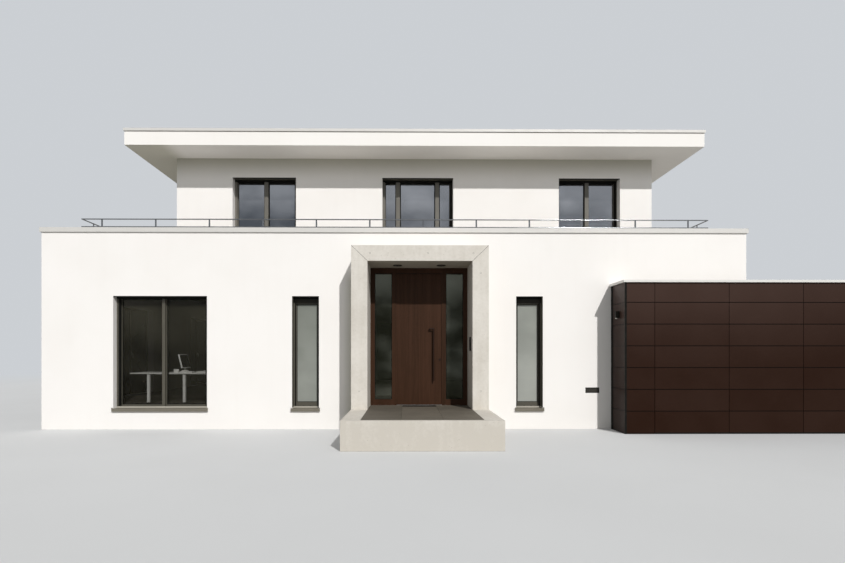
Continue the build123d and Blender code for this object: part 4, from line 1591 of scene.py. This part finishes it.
@dataclass
class PorchDetail(PavingDetail):
    """Large slabs on the porch, left out where the foot grille lies in its tray."""

    stem: str = "porch"
    slab: float = 0.75
    joint: float = 0.003
    ease: float = 0.0015
    finish: Finish = Palette.DARK_PAVING
    slot: Slot = Slot.DARK_PAVING

    def fields(self) -> Iterator[tuple[Limits, Limits]]:
        """Give the limits of the fields in front of the grille, and of those beside it."""
        low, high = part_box("porch_paving")
        mat_low, mat_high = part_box("foot_grille")
        left, right = (low.x, mat_low.x), (mat_high.x, high.x)
        for x in (left, (mat_low.x, mat_high.x), right):
            yield x, (low.y, mat_low.y)
        for x in (left, right):
            yield x, (mat_low.y, high.y)

    def build(self) -> None:
        """Lay the porch slabs and the tray."""
        super().build()
        (low, high), (mat_low, mat_high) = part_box("porch_paving"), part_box("foot_grille")
        tray = Shape().box((mat_low.x, mat_high.x), (mat_low.y, high.y), (low.z, mat_low.z), USUAL_EASE)
        tray.deliver("foot_grille_tray", Palette.RUBBER, Slot.DARK_PAVING)


@dataclass
class RoofDetail(Detail):
    """The gravel bed inside the roof's edge trim."""

    inset: float = 0.16
    margin: float = 0.05
    bed: float = 0.026
    cell: float = 0.12
    swell: float = 0.006
    waves: float = 2.1
    density: float = 44.0
    stone: float = 0.03
    flat: float = 0.62
    rough: Limits = (0.78, 1.1)
    sizes: Limits = (0.5, 1.0)

    def build(self) -> None:
        """Lay the bed and scatter stones over it."""
        low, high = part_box("roof_edge_trim")
        x = (low.x + self.inset, high.x - self.inset)
        y = (low.y + self.inset, high.y - self.inset)
        hand_over(self._bed(x, y, low.z), Palette.GRAVEL, Slot.TERRACE_STONE)
        values = {
            "Width": x[1] - x[0] - 2 * self.margin,
            "Depth": y[1] - y[0] - 2 * self.margin,
            "Middle": (sum(x) / 2, sum(y) / 2, low.z + self.bed),
            "Density": self.density,
            "Least": self.sizes[0],
            "Most": self.sizes[1],
            "Draw": 7,
        }
        stones = self.trees.scatter.run("roof_gravel_stones", self._stone(), Palette.GRAVEL, values, 3)
        hand_over(stones, Palette.GRAVEL, Slot.TERRACE_STONE)

    def _bed(self, x: Limits, y: Limits, level: float) -> Piece:
        """Make the closed, gently uneven bed of gravel.

        Args:
            x: Its limits along X.
            y: Its limits along Y.
            level: The roof's level.

        Returns:
            The bed.
        """
        shape = Shape()
        mesh = shape.mesh
        columns, lines = (int((high - low) / self.cell) for low, high in (x, y))
        bmesh.ops.create_grid(mesh, x_segments=columns, y_segments=lines, size=1.0)
        for vert in mesh.verts:
            at = [low + (share + 1) / 2 * (high - low) for share, (low, high) in zip(vert.co, (x, y))]
            swell = noise.noise(Vector((at[0] * self.waves, at[1] * self.waves, 3.0))) * self.swell
            vert.co = Vector((*at, level + self.bed + swell))
        rim = [edge for edge in mesh.edges if edge.is_boundary]
        walls = bmesh.ops.extrude_edge_only(mesh, edges=rim)["geom"]
        low_rim = [edge for edge in walls if isinstance(edge, bmesh.types.BMEdge) and edge.is_boundary]
        for vert in {vert for edge in low_rim for vert in edge.verts}:
            vert.co.z = level
        bmesh.ops.contextual_create(mesh, geom=low_rim)
        bmesh.ops.recalc_face_normals(mesh, faces=mesh.faces)
        return shape.object("roof_gravel_bed")

    def _stone(self) -> Piece:
        """Make one rough pebble about the origin."""
        shape = Shape()
        bmesh.ops.create_icosphere(shape.mesh, subdivisions=1, radius=self.stone / 2)
        draws = random.Random(11)
        for vert in shape.mesh.verts:
            vert.co = vert.co * draws.uniform(*self.rough)
            vert.co.z *= self.flat
        return shape.object("gravel_stone")


@dataclass
class PortalDetail(Detail):
    """Mitre joints and plugged tie holes on the front of the concrete portal; the dark ring round each plug
    is painted shade of its hole.
    """

    joint: float = 0.005
    sunk: float = 0.002
    proud: float = 0.0006
    hole: float = 0.0145
    plug: float = 0.012
    plug_depth: float = 0.004
    lintel_spots: tuple[float, ...] = (-0.95, 0.15, 1.02)
    low_spot: float = 0.35
    high_spot: float = 2.60

    def build(self) -> None:
        """Make the joints and the plugs."""
        low, high = lintel = Block(*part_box("portal_lintel"))
        left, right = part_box("portal_left_pier")[1].x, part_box("portal_right_pier")[0].x
        seams, piers = Shape(), ((low.x, left), (high.x, right))
        for outer, inner in piers:
            self._seam(seams, low.y, (outer, high.z), (inner, low.z))
        seams.deliver("portal_mitre_joints", Palette.RUBBER, Slot.FAIR_CONCRETE)
        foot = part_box("portal_right_pier")[0].z
        places = [(lintel.middle.x + offset, lintel.middle.z) for offset in self.lintel_spots]
        places += [(sum(pier) / 2, foot + self.low_spot) for pier in piers]
        places.append(((high.x + right) / 2, foot + self.high_spot))
        there = [((x, low.y, z), NO_TURN) for x, z in places]
        # painted shade: the dark ring round each plug stands for the shade in its hole
        for name, radius, proud, finish in (
            ("portal_tie_holes", self.hole, self.proud, Palette.RUBBER),
            ("portal_tie_plugs", self.plug, self.proud * 2, Palette.FAIR_CONCRETE),
        ):
            disc = Shape().rod((0.0, self.plug_depth, 0.0), (0.0, -proud, 0.0), radius, 24)
            made = self.trees.spots.place(name, disc.object(f"{name}_one"), finish, there)
            hand_over(made, finish, Slot.FAIR_CONCRETE)

    def _seam(self, shape: Shape, face: float, outer: Limits, inner: Limits) -> None:
        """Add one slanted seam on the front face.

        Args:
            shape: The shape that takes it.
            face: The front face's place along Y.
            outer: Its outer end, along X and in height.
            inner: Its inner end.
        """
        deep = face + self.sunk
        start, end = Vector((outer[0], deep, outer[1])), Vector((inner[0], deep, inner[1]))
        way = (end - start).normalized()
        side = Vector((-way.z, 0.0, way.x)) * (self.joint / 2)
        start, end = start + way * self.joint, end - way * self.joint
        outline = (start - side, start + side, end + side, end - side)
        shape.prism(outline, (0.0, -self.sunk - self.proud, 0.0))


@dataclass(frozen=True)
class Coping:
    """A coping's node, width and drop, and the sides that it runs on, as axis and end."""

    node: str
    width: float
    drop: float
    finish: Finish = Palette.COPING_METAL
    slot: Slot = Slot.COPING_METAL
    sides: tuple[tuple[int, int], ...] = ((0, 0), (0, 1), (1, 0), (1, 1))


@dataclass
class CopingDetail(Detail):
    """Cover strips over the joints of the copings and of the roof's edge trim, and a dark strip of painted
    shadow under the parapet coping.
    """

    strip: float = 0.09
    sheet: float = 0.0015
    pitch: float = 2.5
    corner: float = 0.7
    shadow_strip: float = 0.024
    shadow_strip_proud: float = 0.006
    tape_back: float = 0.002

    def build(self) -> None:
        """Make the strips of each coping, and the painted shadow strip."""
        self._covers(Coping("parapet_coping", 0.48, 0.09))
        self._covers(Coping("roof_edge_trim", 0.16, 0.055))
        self._shadow_strip()
        white = (Palette.WHITE_COPING, Slot.WHITE_COPING, ((0, 0), (1, 1)))
        self._covers(Coping("garage_coping", 0.367, 0.04, *white))

    def _shadow_strip(self) -> None:
        """Run a dark strip round the walls, close under the parapet coping: painted shadow of the coping's
        drip.
        """
        low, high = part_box("left_wall")[0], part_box("right_wall")[1]
        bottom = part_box("parapet_coping")[0].z
        level = (bottom - self.shadow_strip, bottom + self.tape_back)
        near, far = -self.shadow_strip_proud, self.tape_back
        shape, across = Shape(), (low.x + near, high.x - near)
        for y in ((low.y + near, low.y + far), (high.y - far, high.y - near)):
            shape.box(across, y, level, USUAL_EASE)
        for x in ((low.x + near, low.x + far), (high.x - far, high.x - near)):
            shape.box(x, (low.y + far, high.y - far), level, USUAL_EASE)
        shape.deliver("parapet_joint_tape", Palette.RUBBER, Slot.COPING_METAL)

    def _along(self, coping: Coping, axis: int, end: int) -> Iterator[Spot]:
        """Give the place and turn of each strip along one side.

        Args:
            coping: The coping.
            axis: The axis that the side runs along.
            end: Whether the side lies at the low or the high end of the other axis.

        Yields:
            The place and the turn of one strip.
        """
        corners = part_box(coping.node)
        across = corners[end][1 - axis] + coping.width / 2 * (1, -1)[end]
        inset = coping.width + self.corner
        first, last = corners[0][axis] + inset, corners[1][axis] - inset
        count = max(2, round((last - first) / self.pitch) + 1)
        for number in range(count):
            at = first + (last - first) * number / (count - 1)
            ends = (across, at) if axis else (at, across)
            yield (*ends, corners[1].z), (0.0, 0.0, math.pi / 2 * axis)

    def _covers(self, coping: Coping) -> None:
        """Make one coping's strips and hand them over."""
        half, thin, drop = coping.width / 2 + self.sheet, self.sheet, -coping.drop
        outline = [(-half, drop), (-half, thin), (half, thin), (half, drop)]
        outline += [(half - thin, drop), (half - thin, 0.0), (thin - half, 0.0), (thin - half, drop)]
        corners = [(-self.strip / 2, y, z) for y, z in outline]
        strip = Shape().prism(corners, (self.strip, 0.0, 0.0)).object(f"{coping.node}_strip")
        there = [spot for side in coping.sides for spot in self._along(coping, *side)]
        made = self.trees.spots.place(f"{coping.node}_joint_covers", strip, coping.finish, there)
        hand_over(made, coping.finish, coping.slot)


@dataclass
class RailingDetail(Detail):
    """Round rails on flat posts round the terrace, with foot plates and bolts."""

    first_post: float = 0.44
    radius: float = 0.012
    lower: float = 0.176
    post: Limits = (0.032, 0.012)
    posts: tuple[int, int] = (12, 9)
    plate: Triple = (0.13, 0.06, 0.008)
    bolt_inset: float = 0.022
    flat_ease: float = 0.0015
    washer: Limits = (0.0115, 0.002)
    head: Limits = (0.0085, 0.0085)

    def build(self) -> None:
        """Make the rails, the posts, the plates and the bolts of all four railings."""
        plates, bolts = [], []
        repeat = self.trees.rows.repeat
        for side, axis in (("front", 0), ("back", 0), ("left", 1), ("right", 1)):
            low, high = railing = Block(*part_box(f"railing_{side}"))
            count, start = self.posts[axis], railing.middle
            start[axis], start.z = low[axis] + self.first_post, low.z
            way = Vector((1 - axis, axis, 0))
            step = way * ((high[axis] - low[axis] - 2 * self.first_post) / (count - 1))
            apart = way * (self.plate[0] - 2 * self.bolt_inset)
            line = ((step, count),)
            turn = (0.0, 0.0, math.pi / 2 * axis)
            post = self._flat("railing_post", *self.post, high.z - 2 * self.radius - low.z)
            posts = repeat("posts", post, Palette.RAILING_METAL, start, line, turn)
            made = joined(f"railing_{side}_rails", [posts, self._rails(low, high, axis)])
            hand_over(made, Palette.RAILING_METAL, Slot.RAILING_METAL, replaced=[f"railing_{side}"])
            plate = self._flat("railing_plate", *self.plate)
            plates.append(repeat("plates", plate, Palette.RAILING_METAL, start, line, turn))
            foot = start - apart / 2 + Vector((0.0, 0.0, self.plate[2]))
            bolts.append(repeat("bolts", self._bolt(), Palette.STEEL, foot, (*line, (apart, 2))))
        hand_over(joined("railing_foot_plates", plates), Palette.RAILING_METAL, Slot.RAILING_METAL)
        hand_over(joined("railing_bolts", bolts), Palette.STEEL, Slot.STEEL)

    def _rails(self, low: Vector, high: Vector, axis: int) -> Piece:
        """Make the two rails of one side, with round ends that meet at the corners."""
        shape = Shape()
        reach = -self.radius if axis else self.radius
        for level in (high.z - self.radius, high.z - self.lower):
            ends = [low.copy(), high.copy()]
            for end, way in zip(ends, (reach, -reach)):
                end[axis] += way
                end[1 - axis] = (low[1 - axis] + high[1 - axis]) / 2
                end.z = level
                if axis == 0:
                    shape.ball(end, self.radius, 16)
            shape.rod(*ends, self.radius)
        return shape.object("rails")

    def _flat(self, name: str, wide: float, deep: float, tall: float) -> Piece:
        """Make one flat piece about the middle of its foot."""
        return Shape().box(about(wide), about(deep), (0.0, tall), self.flat_ease).object(name)

    def _bolt(self) -> Piece:
        """Make one hexagon bolt on its washer."""
        seat = (0.0, 0.0, self.washer[1])
        shape = Shape().rod((0.0, 0.0, 0.0), seat, self.washer[0], 16)
        return shape.rod(seat, (0.0, 0.0, self.head[1]), self.head[0], 6).object("railing_bolt")


@dataclass
class UpperStoreyDetail(Detail):
    """Flashing at the foot of the upper walls, and thresholds in their openings."""

    flashing: float = 0.085
    flashing_proud: float = 0.004
    flashing_back: float = 0.002
    cap: float = 0.006
    cap_proud: float = 0.012
    base: float = 0.04
    rise: float = 0.008
    nose: float = 0.03
    ease: float = 0.0012
    slack: float = 0.01

    def build(self) -> None:
        """Make the strips and the thresholds of all four walls."""
        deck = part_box("terrace_paving")[1].z
        low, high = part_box("upper_front_wall")[0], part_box("upper_back_wall")[1]
        nodes = [f"{stem}_window_frames" for stem in ("upper", "side", "rear")]
        windows = [window for node in nodes for window in islands(node)]
        strips, thresholds = Shape(), Shape()
        for side in ("front", "back", "left", "right"):
            wall = Block(*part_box(f"upper_{side}_wall"))
            inside = [window for window in windows if self._holds(wall, window)]
            axis = 1 - wall.across
            start = low[axis]
            for opening in [*sorted(window.along for window in inside), (high[axis], high[axis])]:
                self._strip(strips, wall, (start, opening[0]), deck)
                start = opening[1]
            for window in inside:
                reach = (wall.face - window.face) * wall.outwards
                for nose, height in ((0.0, (deck - self.base, deck)), (self.nose, span(deck, self.rise))):
                    wall.add_box(thresholds, window.along, (-nose, reach), height, self.ease)
        strips.deliver("upper_wall_flashing", Palette.COPING_METAL, Slot.COPING_METAL)
        thresholds.deliver("upper_window_thresholds", Palette.SILL, Slot.FRAME_METAL)

    def _holds(self, wall: Block, window: Block) -> bool:
        """Tell whether a window stands in a wall."""
        across = wall.across
        between = wall.low[across] < window.low[across] < wall.high[across]
        return between and window.low.z > wall.low.z - self.slack

    def _strip(self, shape: Shape, wall: Block, along: Limits, deck: float) -> None:
        """Add a stretch of flashing with its cap."""
        level = deck + self.flashing
        for proud, height in (
            (self.flashing_proud, (deck, level)),
            (self.cap_proud, span(level, self.cap)),
        ):
            wall.add_box(shape, along, (-proud, self.flashing_back), height)


@dataclass
class DoorDetail(Detail):
    """Threshold, lip seals, hinge screws and lock of the entrance door."""

    play: float = 0.004
    threshold: float = 0.0045
    threshold_inset: float = 0.002
    ribs: Limits = (0.012, 0.016)
    rib_height: float = 0.0004
    seal: float = 0.008
    seal_inset: float = 0.003
    lip: float = 0.015
    lip_gap: float = 0.001
    screw: float = 0.0042
    screw_height: Limits = (-0.001, 0.0016)
    screw_spread: float = 0.011
    screw_inset: float = 0.017
    screw_level: float = 0.021
    screw_ease: float = 0.0005
    keyway: Limits = (0.0024, 0.010)
    keyway_depth: Limits = (-0.0006, 0.004)
    rim: float = 0.0115
    rim_depth: Limits = (0.0012, 0.006)
    rim_ease: float = 0.0008

    def build(self) -> None:
        """Make the door's fine pieces."""
        low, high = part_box("door_leaf")
        frame_low, frame_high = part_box("door_frame")
        self._threshold((low.x - self.play, high.x + self.play), (frame_low.y, frame_high.y), frame_low.z)
        self._seals(low, high, frame_low.y)
        self._screws()
        self._lock()

    def _threshold(self, x: Limits, y: Limits, floor: float) -> None:
        """Lay the flat threshold under the leaf, with a rib at each edge."""
        top = floor + self.threshold
        shape = Shape().box(x, (y[0] + self.threshold_inset, y[1]), (floor, top), USUAL_EASE)
        for start in (y[0] + self.ribs[0], y[1] - self.ribs[1]):
            shape.box(x, span(start, self.play), (floor, top + self.rib_height))
        shape.deliver("door_threshold", Palette.STEEL, Slot.STEEL)

    def _seals(self, low: Vector, high: Vector, front: float) -> None:
        """Run a seal along the inner edge of the stop lips."""
        inset, seal = self.seal_inset, self.seal
        left, right, top = low.x + inset, high.x - inset, high.z - inset
        depth = (front + inset, front + self.lip - self.lip_gap)
        shape = Shape()
        for start in (left, right - seal):
            shape.box(span(start, seal), depth, (low.z, top), USUAL_EASE)
        shape.box((left, right), depth, (top - seal, top), USUAL_EASE)
        shape.deliver("door_stop_seals", Palette.RUBBER, Slot.DOOR_WOOD)

    def _screws(self) -> None:
        """Put two screws in each hinge plate, on the post and on the leaf."""
        ends = [(0.0, height, 0.0) for height in self.screw_height]
        for node, body in (("door_hinge_pins", Body.HOUSE), ("door_hinge_knuckles", Body.DOOR)):
            there = []
            for low, high in islands(node):
                x = low.x + self.screw_inset if body is Body.HOUSE else high.x - self.screw_inset
                for step in (-self.screw_spread, self.screw_spread):
                    there.append(((x, low.y + self.play, low.z + self.screw_level + step), NO_TURN))
            head = Shape().rod(*ends, self.screw, 16, self.screw_ease).object("screw")
            made = self.trees.spots.place(f"{node}_screws", head, Palette.STEEL, there)
            hand_over(made, Palette.STEEL, Slot.STEEL, body)

    def _lock(self) -> None:
        """Give the lock's cylinder its keyway and the rosette its rim."""
        cylinder = islands("door_handles")[2]
        x, y, z = cylinder.middle.x, cylinder.low.y, cylinder.middle.z
        wide, tall = self.keyway
        depth = tuple(y + reach for reach in self.keyway_depth)
        shape = Shape().box(about(wide, x), depth, about(tall, z))
        ends = [(x, y + reach, z) for reach in self.rim_depth]
        shape.rod(*ends, self.rim, 24, self.rim_ease)
        shape.deliver("door_lock_keyway", Palette.RUBBER, Slot.LAMP_METAL, Body.DOOR)


@dataclass
class LightDetail(Detail):
    """Lenses and louvres of the outside lights."""

    slats: int = 5
    slat: Limits = (0.012, 0.0015)
    slat_lean: float = math.radians(-35)
    slat_depth: float = 0.008
    slat_ease: float = 0.0004
    margin: float = 0.012
    path_lens: Limits = (0.0145, 0.0185)
    lens_radius: float = 0.071
    lens_inset: Limits = (0.004, 0.002)
    rim_ease: float = 0.0015
    clip: float = 0.003
    clips: int = 3
    clip_circle: float = 0.083
    clip_height: Limits = (0.001, -0.0012)
    ball_inset: float = 0.022
    ball_lift: float = 0.004
    ball: float = 0.024
    collar: float = 0.0245
    edge: float = 0.006
    screw: float = 0.0035
    screw_depth: Limits = (0.012, 0.0085)

    def build(self) -> None:
        """Make the pieces of all the outside lights."""
        self._downlights()
        self._path_light()
        self._garage_lamp()

    def _downlights(self) -> None:
        """Close the two downlights in the portal's soffit."""
        lenses, clips = Shape(), Shape()
        for light in islands("portal_downlights"):
            low, high, (x, y, _) = *light, light.middle
            top, bottom = high.z - self.lens_inset[0], low.z + self.lens_inset[1]
            lenses.rod((x, y, top), (x, y, bottom), self.lens_radius, 40, self.rim_ease)
            for turn in range(self.clips):
                angle = math.tau * turn / self.clips
                across, deep = self.clip_circle * math.cos(angle), self.clip_circle * math.sin(angle)
                ends = [(x + across, y + deep, low.z + level) for level in self.clip_height]
                clips.rod(*ends, self.clip, 12)
        lenses.deliver("downlight_lenses", Palette.SHADED_LENS, Slot.LAMP_METAL)
        clips.deliver("downlight_screws", Palette.STEEL, Slot.STEEL)

    def _path_light(self) -> None:
        """Put a lens and slanted slats into the path light's recess."""
        low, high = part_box("path_light")
        x, z = ((low[axis] + self.margin, high[axis] - self.margin) for axis in (0, 2))
        lens = Shape().box(x, tuple(low.y + depth for depth in self.path_lens), z, USUAL_EASE)
        lens.deliver("path_light_lens", Palette.SHADED_LENS, Slot.LAMP_METAL)
        slat = Shape().box(*map(about, (x[1] - x[0], *self.slat)), self.slat_ease).object("path_light_slat")
        pitch = (z[1] - z[0]) / self.slats
        start = (sum(x) / 2, low.y + self.slat_depth, z[0] + pitch / 2)
        line, lean = (((0.0, 0.0, pitch), self.slats),), (self.slat_lean, 0.0, 0.0)
        made = self.trees.rows.repeat("path_light_louvre", slat, Palette.LAMP_METAL, start, line, lean)
        hand_over(made, Palette.LAMP_METAL, Slot.LAMP_METAL)

    def _garage_lamp(self) -> None:
        """Give the garage lamp its lens in a collar, below, and its two screws."""
        low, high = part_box("garage_lamp")
        x, y, z = low.x + self.ball_inset, (low.y + high.y) / 2, low.z + self.ball_lift
        Shape().ball((x, y, z), self.ball).deliver("garage_lamp_lens", Palette.LENS, Slot.LAMP_METAL)
        ends = ((x, y, z + self.edge), (x, y, z - self.edge))
        collar = Shape().rod(*ends, self.collar, 28, self.rim_ease)
        for level in (low.z + self.edge, high.z - self.edge):
            collar.rod(*((high.x - depth, y, level) for depth in self.screw_depth), self.screw, 12)
        collar.deliver("garage_lamp_collar", Palette.LAMP_METAL, Slot.LAMP_METAL)


@dataclass
class IntercomDetail(Detail):
    """Speaker holes, the ring round the button and the glass of the camera.

    A disc's form is its back and front, outwards from the plate's face, and its radius.
    """

    hole: Triple = (0.001, -0.0007, 0.0022)
    ring: Triple = (0.001, -0.0015, 0.0155)
    glass: Triple = (0.0, -0.0046, 0.013)
    eases: Limits = (0.0006, 0.0012)
    holes: tuple[int, int] = (8, 5)
    pitch: float = 0.008
    plate_inset: float = 0.004
    speaker_level: float = 1.738
    button_level: float = 1.66
    lens_level: float = 1.81

    def build(self) -> None:
        """Make the intercom's pieces."""
        low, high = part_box("intercom_plate")
        face, y = low.x + self.plate_inset, (low.y + high.y) / 2
        hole = self._disc(NO_TURN, self.hole, 10).object("speaker_hole")
        across, down = (self.pitch * (count - 1) / 2 for count in self.holes)
        start = (face, y - across, self.speaker_level - down)
        steps = tuple(zip(((0.0, self.pitch, 0.0), (0.0, 0.0, self.pitch)), self.holes))
        made = self.trees.rows.repeat("intercom_speaker_holes", hole, Palette.RUBBER, start, steps)
        hand_over(made, Palette.RUBBER, Slot.LAMP_METAL)
        ring = self._disc((face, y, self.button_level), self.ring, 32, self.eases[0])
        ring.deliver("intercom_button_ring", Palette.STEEL, Slot.STEEL)
        glass = self._disc((face, y, self.lens_level), self.glass, 32, self.eases[1])
        glass.deliver("intercom_camera_glass", Palette.DARK_GLASS, Slot.LAMP_METAL)

    def _disc(self, place: Triple, form: Triple, sides: int, ease: float = 0.0) -> Shape:
        """Make a disc of a form at a place on the plate's face."""
        (x, y, z), (back, front, radius) = place, form
        return Shape().rod((x + back, y, z), (x + front, y, z), radius, sides, ease)


@dataclass
class GarageDetail(Detail):
    """Corner profile, end strips and door seal of the garage's cladding."""

    profile: float = 0.036
    proud: float = 0.0015
    sunk: float = 0.004
    ease: float = 0.0006
    trim: float = 0.024
    end_strip: float = 0.12
    inset: float = 0.001
    seal: float = 0.026
    seal_proud: float = 0.001
    seal_ease: float = 0.0008
    grip: float = 0.06
    grip_inset: float = 0.6
    grip_proud: float = 0.002

    def build(self) -> None:
        """Make the profile, the strips and the seal."""
        low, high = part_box("garage_front_cladding")
        height, wall = (self.inset, high.z - self.inset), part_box("front_wall_right")[0].y
        left, right = (low.x - self.proud, low.x + self.sunk), (high.x - self.sunk, high.x + self.proud)
        front = (low.y - self.proud, low.y + self.sunk)
        dark, pale = Shape(), Shape()
        for start in (low.x, high.x - self.profile):
            dark.box(span(start, self.profile), front, height, self.ease)
        dark.box(left, (wall - self.end_strip, wall), height, self.ease)
        dark.deliver("garage_corner_profiles", Palette.RUBBER, Slot.GARAGE_PANEL)
        for x in (left, right):
            pale.box(x, span(low.y, self.trim), height, self.ease)
        pale.deliver("garage_edge_trims", Palette.LAMP_METAL, Slot.GARAGE_PANEL)
        self._seal(*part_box("garage_door"))

    def _seal(self, low: Vector, high: Vector) -> None:
        """Lay the seal under the garage door, with a grip near each end."""
        depth, rise = (low.y - self.seal_proud, low.y + self.sunk), (0.0, self.seal)
        seal = Shape().box((low.x, high.x), depth, rise, self.seal_ease)
        depth, rise = (low.y - self.grip_proud, low.y), (self.sunk, self.seal - self.sunk)
        for x in (low.x + self.grip_inset, high.x - self.grip_inset):
            seal.box(about(self.grip, x), depth, rise, USUAL_EASE)
        seal.deliver("garage_door_seal", Palette.RUBBER, Slot.GARAGE_PANEL)


@dataclass
class StudyDetail(Detail):
    """The flat screen, papers and edge band on the desk behind the study window."""

    screen: Triple = (0.034, 0.46, 0.31)
    screen_at: Limits = (-4.665, -4.50)
    screen_lift: float = 0.10
    screen_rim: float = 0.012
    screen_ease: float = 0.005
    glass: Limits = (-0.001, 0.0015)
    glass_ease: float = 0.002
    lean: float = math.radians(-14)
    foot: tuple[Limits, Limits, float] = ((-0.11, 0.07), (-0.1, 0.1), 0.008)
    neck: tuple[Limits, ...] = ((-0.035, 0.006), (-0.025, 0.006), (-0.035, 0.22), (-0.055, 0.22))
    foot_ease: float = 0.003
    neck_width: float = 0.06
    band: Limits = (0.021, 0.001)
    band_depth: float = 0.002
    band_ease: float = 0.0005
    paper_ease: float = 0.0015
    papers: tuple[tuple[float, ...], ...] = (
        (-4.55, -4.78, 0.26, 0.20, 0.030),
        (-4.62, -4.70, 0.14, 0.10, 0.050),
        (-4.24, -4.68, 0.24, 0.30, 0.030),
        (-4.14, -4.62, 0.20, 0.28, 0.045),
        (-4.81, -4.70, 0.10, 0.08, 0.075),
    )
    most_turn: float = 0.4

    def build(self) -> None:
        """Make the things on the desk."""
        low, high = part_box("study_desk")
        self._housing(high.z)
        glass = self._screen(self.glass, self.screen_rim, self.glass_ease, high.z)
        glass.deliver("desk_screen_glass", Palette.DARK_GLASS, Slot.LAMP_METAL)
        self._papers(high.z)
        under, over = self.band
        x, y = (low.x - over, high.x + over), (low.y - over, low.y + self.band_depth)
        band = Shape().box(x, y, (high.z - under, high.z - over), self.band_ease)
        band.deliver("desk_edge_band", Palette.DESK_WHITE, Slot.DESK_WHITE)

    def _screen(self, depth: Limits, inset: float, ease: float, top: float) -> Shape:
        """Make one leaning plate of the screen.

        Args:
            depth: Its limits behind and before the screen's front.
            inset: How far it stands in from the screen's edge.
            ease: How far its edges are rounded.
            top: The desk's level.

        Returns:
            The plate, as a shape.
        """
        _, wide, tall = self.screen
        shape = Shape().box(depth, about(wide - 2 * inset), (inset, tall - inset), ease, 2)
        base = Matrix.Translation((*self.screen_at, top + self.screen_lift))
        shape.mesh.transform(base @ Matrix.Rotation(self.lean, 4, "Y"))
        return shape

    def _housing(self, top: float) -> None:
        """Stand the screen's housing on its foot, seen from its edge."""
        x, y = self.screen_at
        shape = self._screen((-self.screen[0], 0.0), 0.0, self.screen_ease, top)
        (left, right), (front, back), thick = self.foot
        shape.box((x + left, x + right), (y + front, y + back), span(top, thick), self.foot_ease, 2)
        outline = [(x + across, y - self.neck_width / 2, top + level) for across, level in self.neck]
        shape.prism(outline, (0.0, self.neck_width, 0.0))
        shape.deliver("desk_screen_housing", Palette.DESK_WHITE, Slot.DESK_WHITE)

    def _papers(self, top: float) -> None:
        """Lay loose sheets and a closed folder on the desk."""
        draws = random.Random(5)
        sheets = []
        for x, y, wide, deep, thick in self.papers:
            sheet = Shape().box(about(wide), about(deep), (0.0, thick), self.paper_ease)
            turn = Matrix.Rotation(draws.uniform(-self.most_turn, self.most_turn), 4, "Z")
            sheet.mesh.transform(Matrix.Translation((x, y, top)) @ turn)
            sheets.append(sheet.object("sheet"))
        hand_over(joined("desk_papers", sheets), Palette.PAPER, Slot.DESK_WHITE)


DETAILS = (
    GlazingDetail, RevealDetail, SillDetail, TerraceDetail, RailingDetail, UpperStoreyDetail,
    CopingDetail, RoofDetail, PorchDetail, PortalDetail, DoorDetail, LightDetail, IntercomDetail,
    GarageDetail, StudyDetail,
)


def main() -> None:
    """Build the studio and every sub-assembly in turn."""
    logging.basicConfig(level=logging.INFO, format="%(name)s: %(message)s")
    Studio().build()
    Carcass().dress()
    trees = Trees(RowTree(), SpotTree(), ScatterTree())
    for detail in DETAILS:
        detail(trees).build()
    boxes = {"cad": CAD_BOX, "visual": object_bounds()}
    {name: [list(corner) for corner in box] for name, box in boxes.items()}


if __name__ == "__main__":
    main()
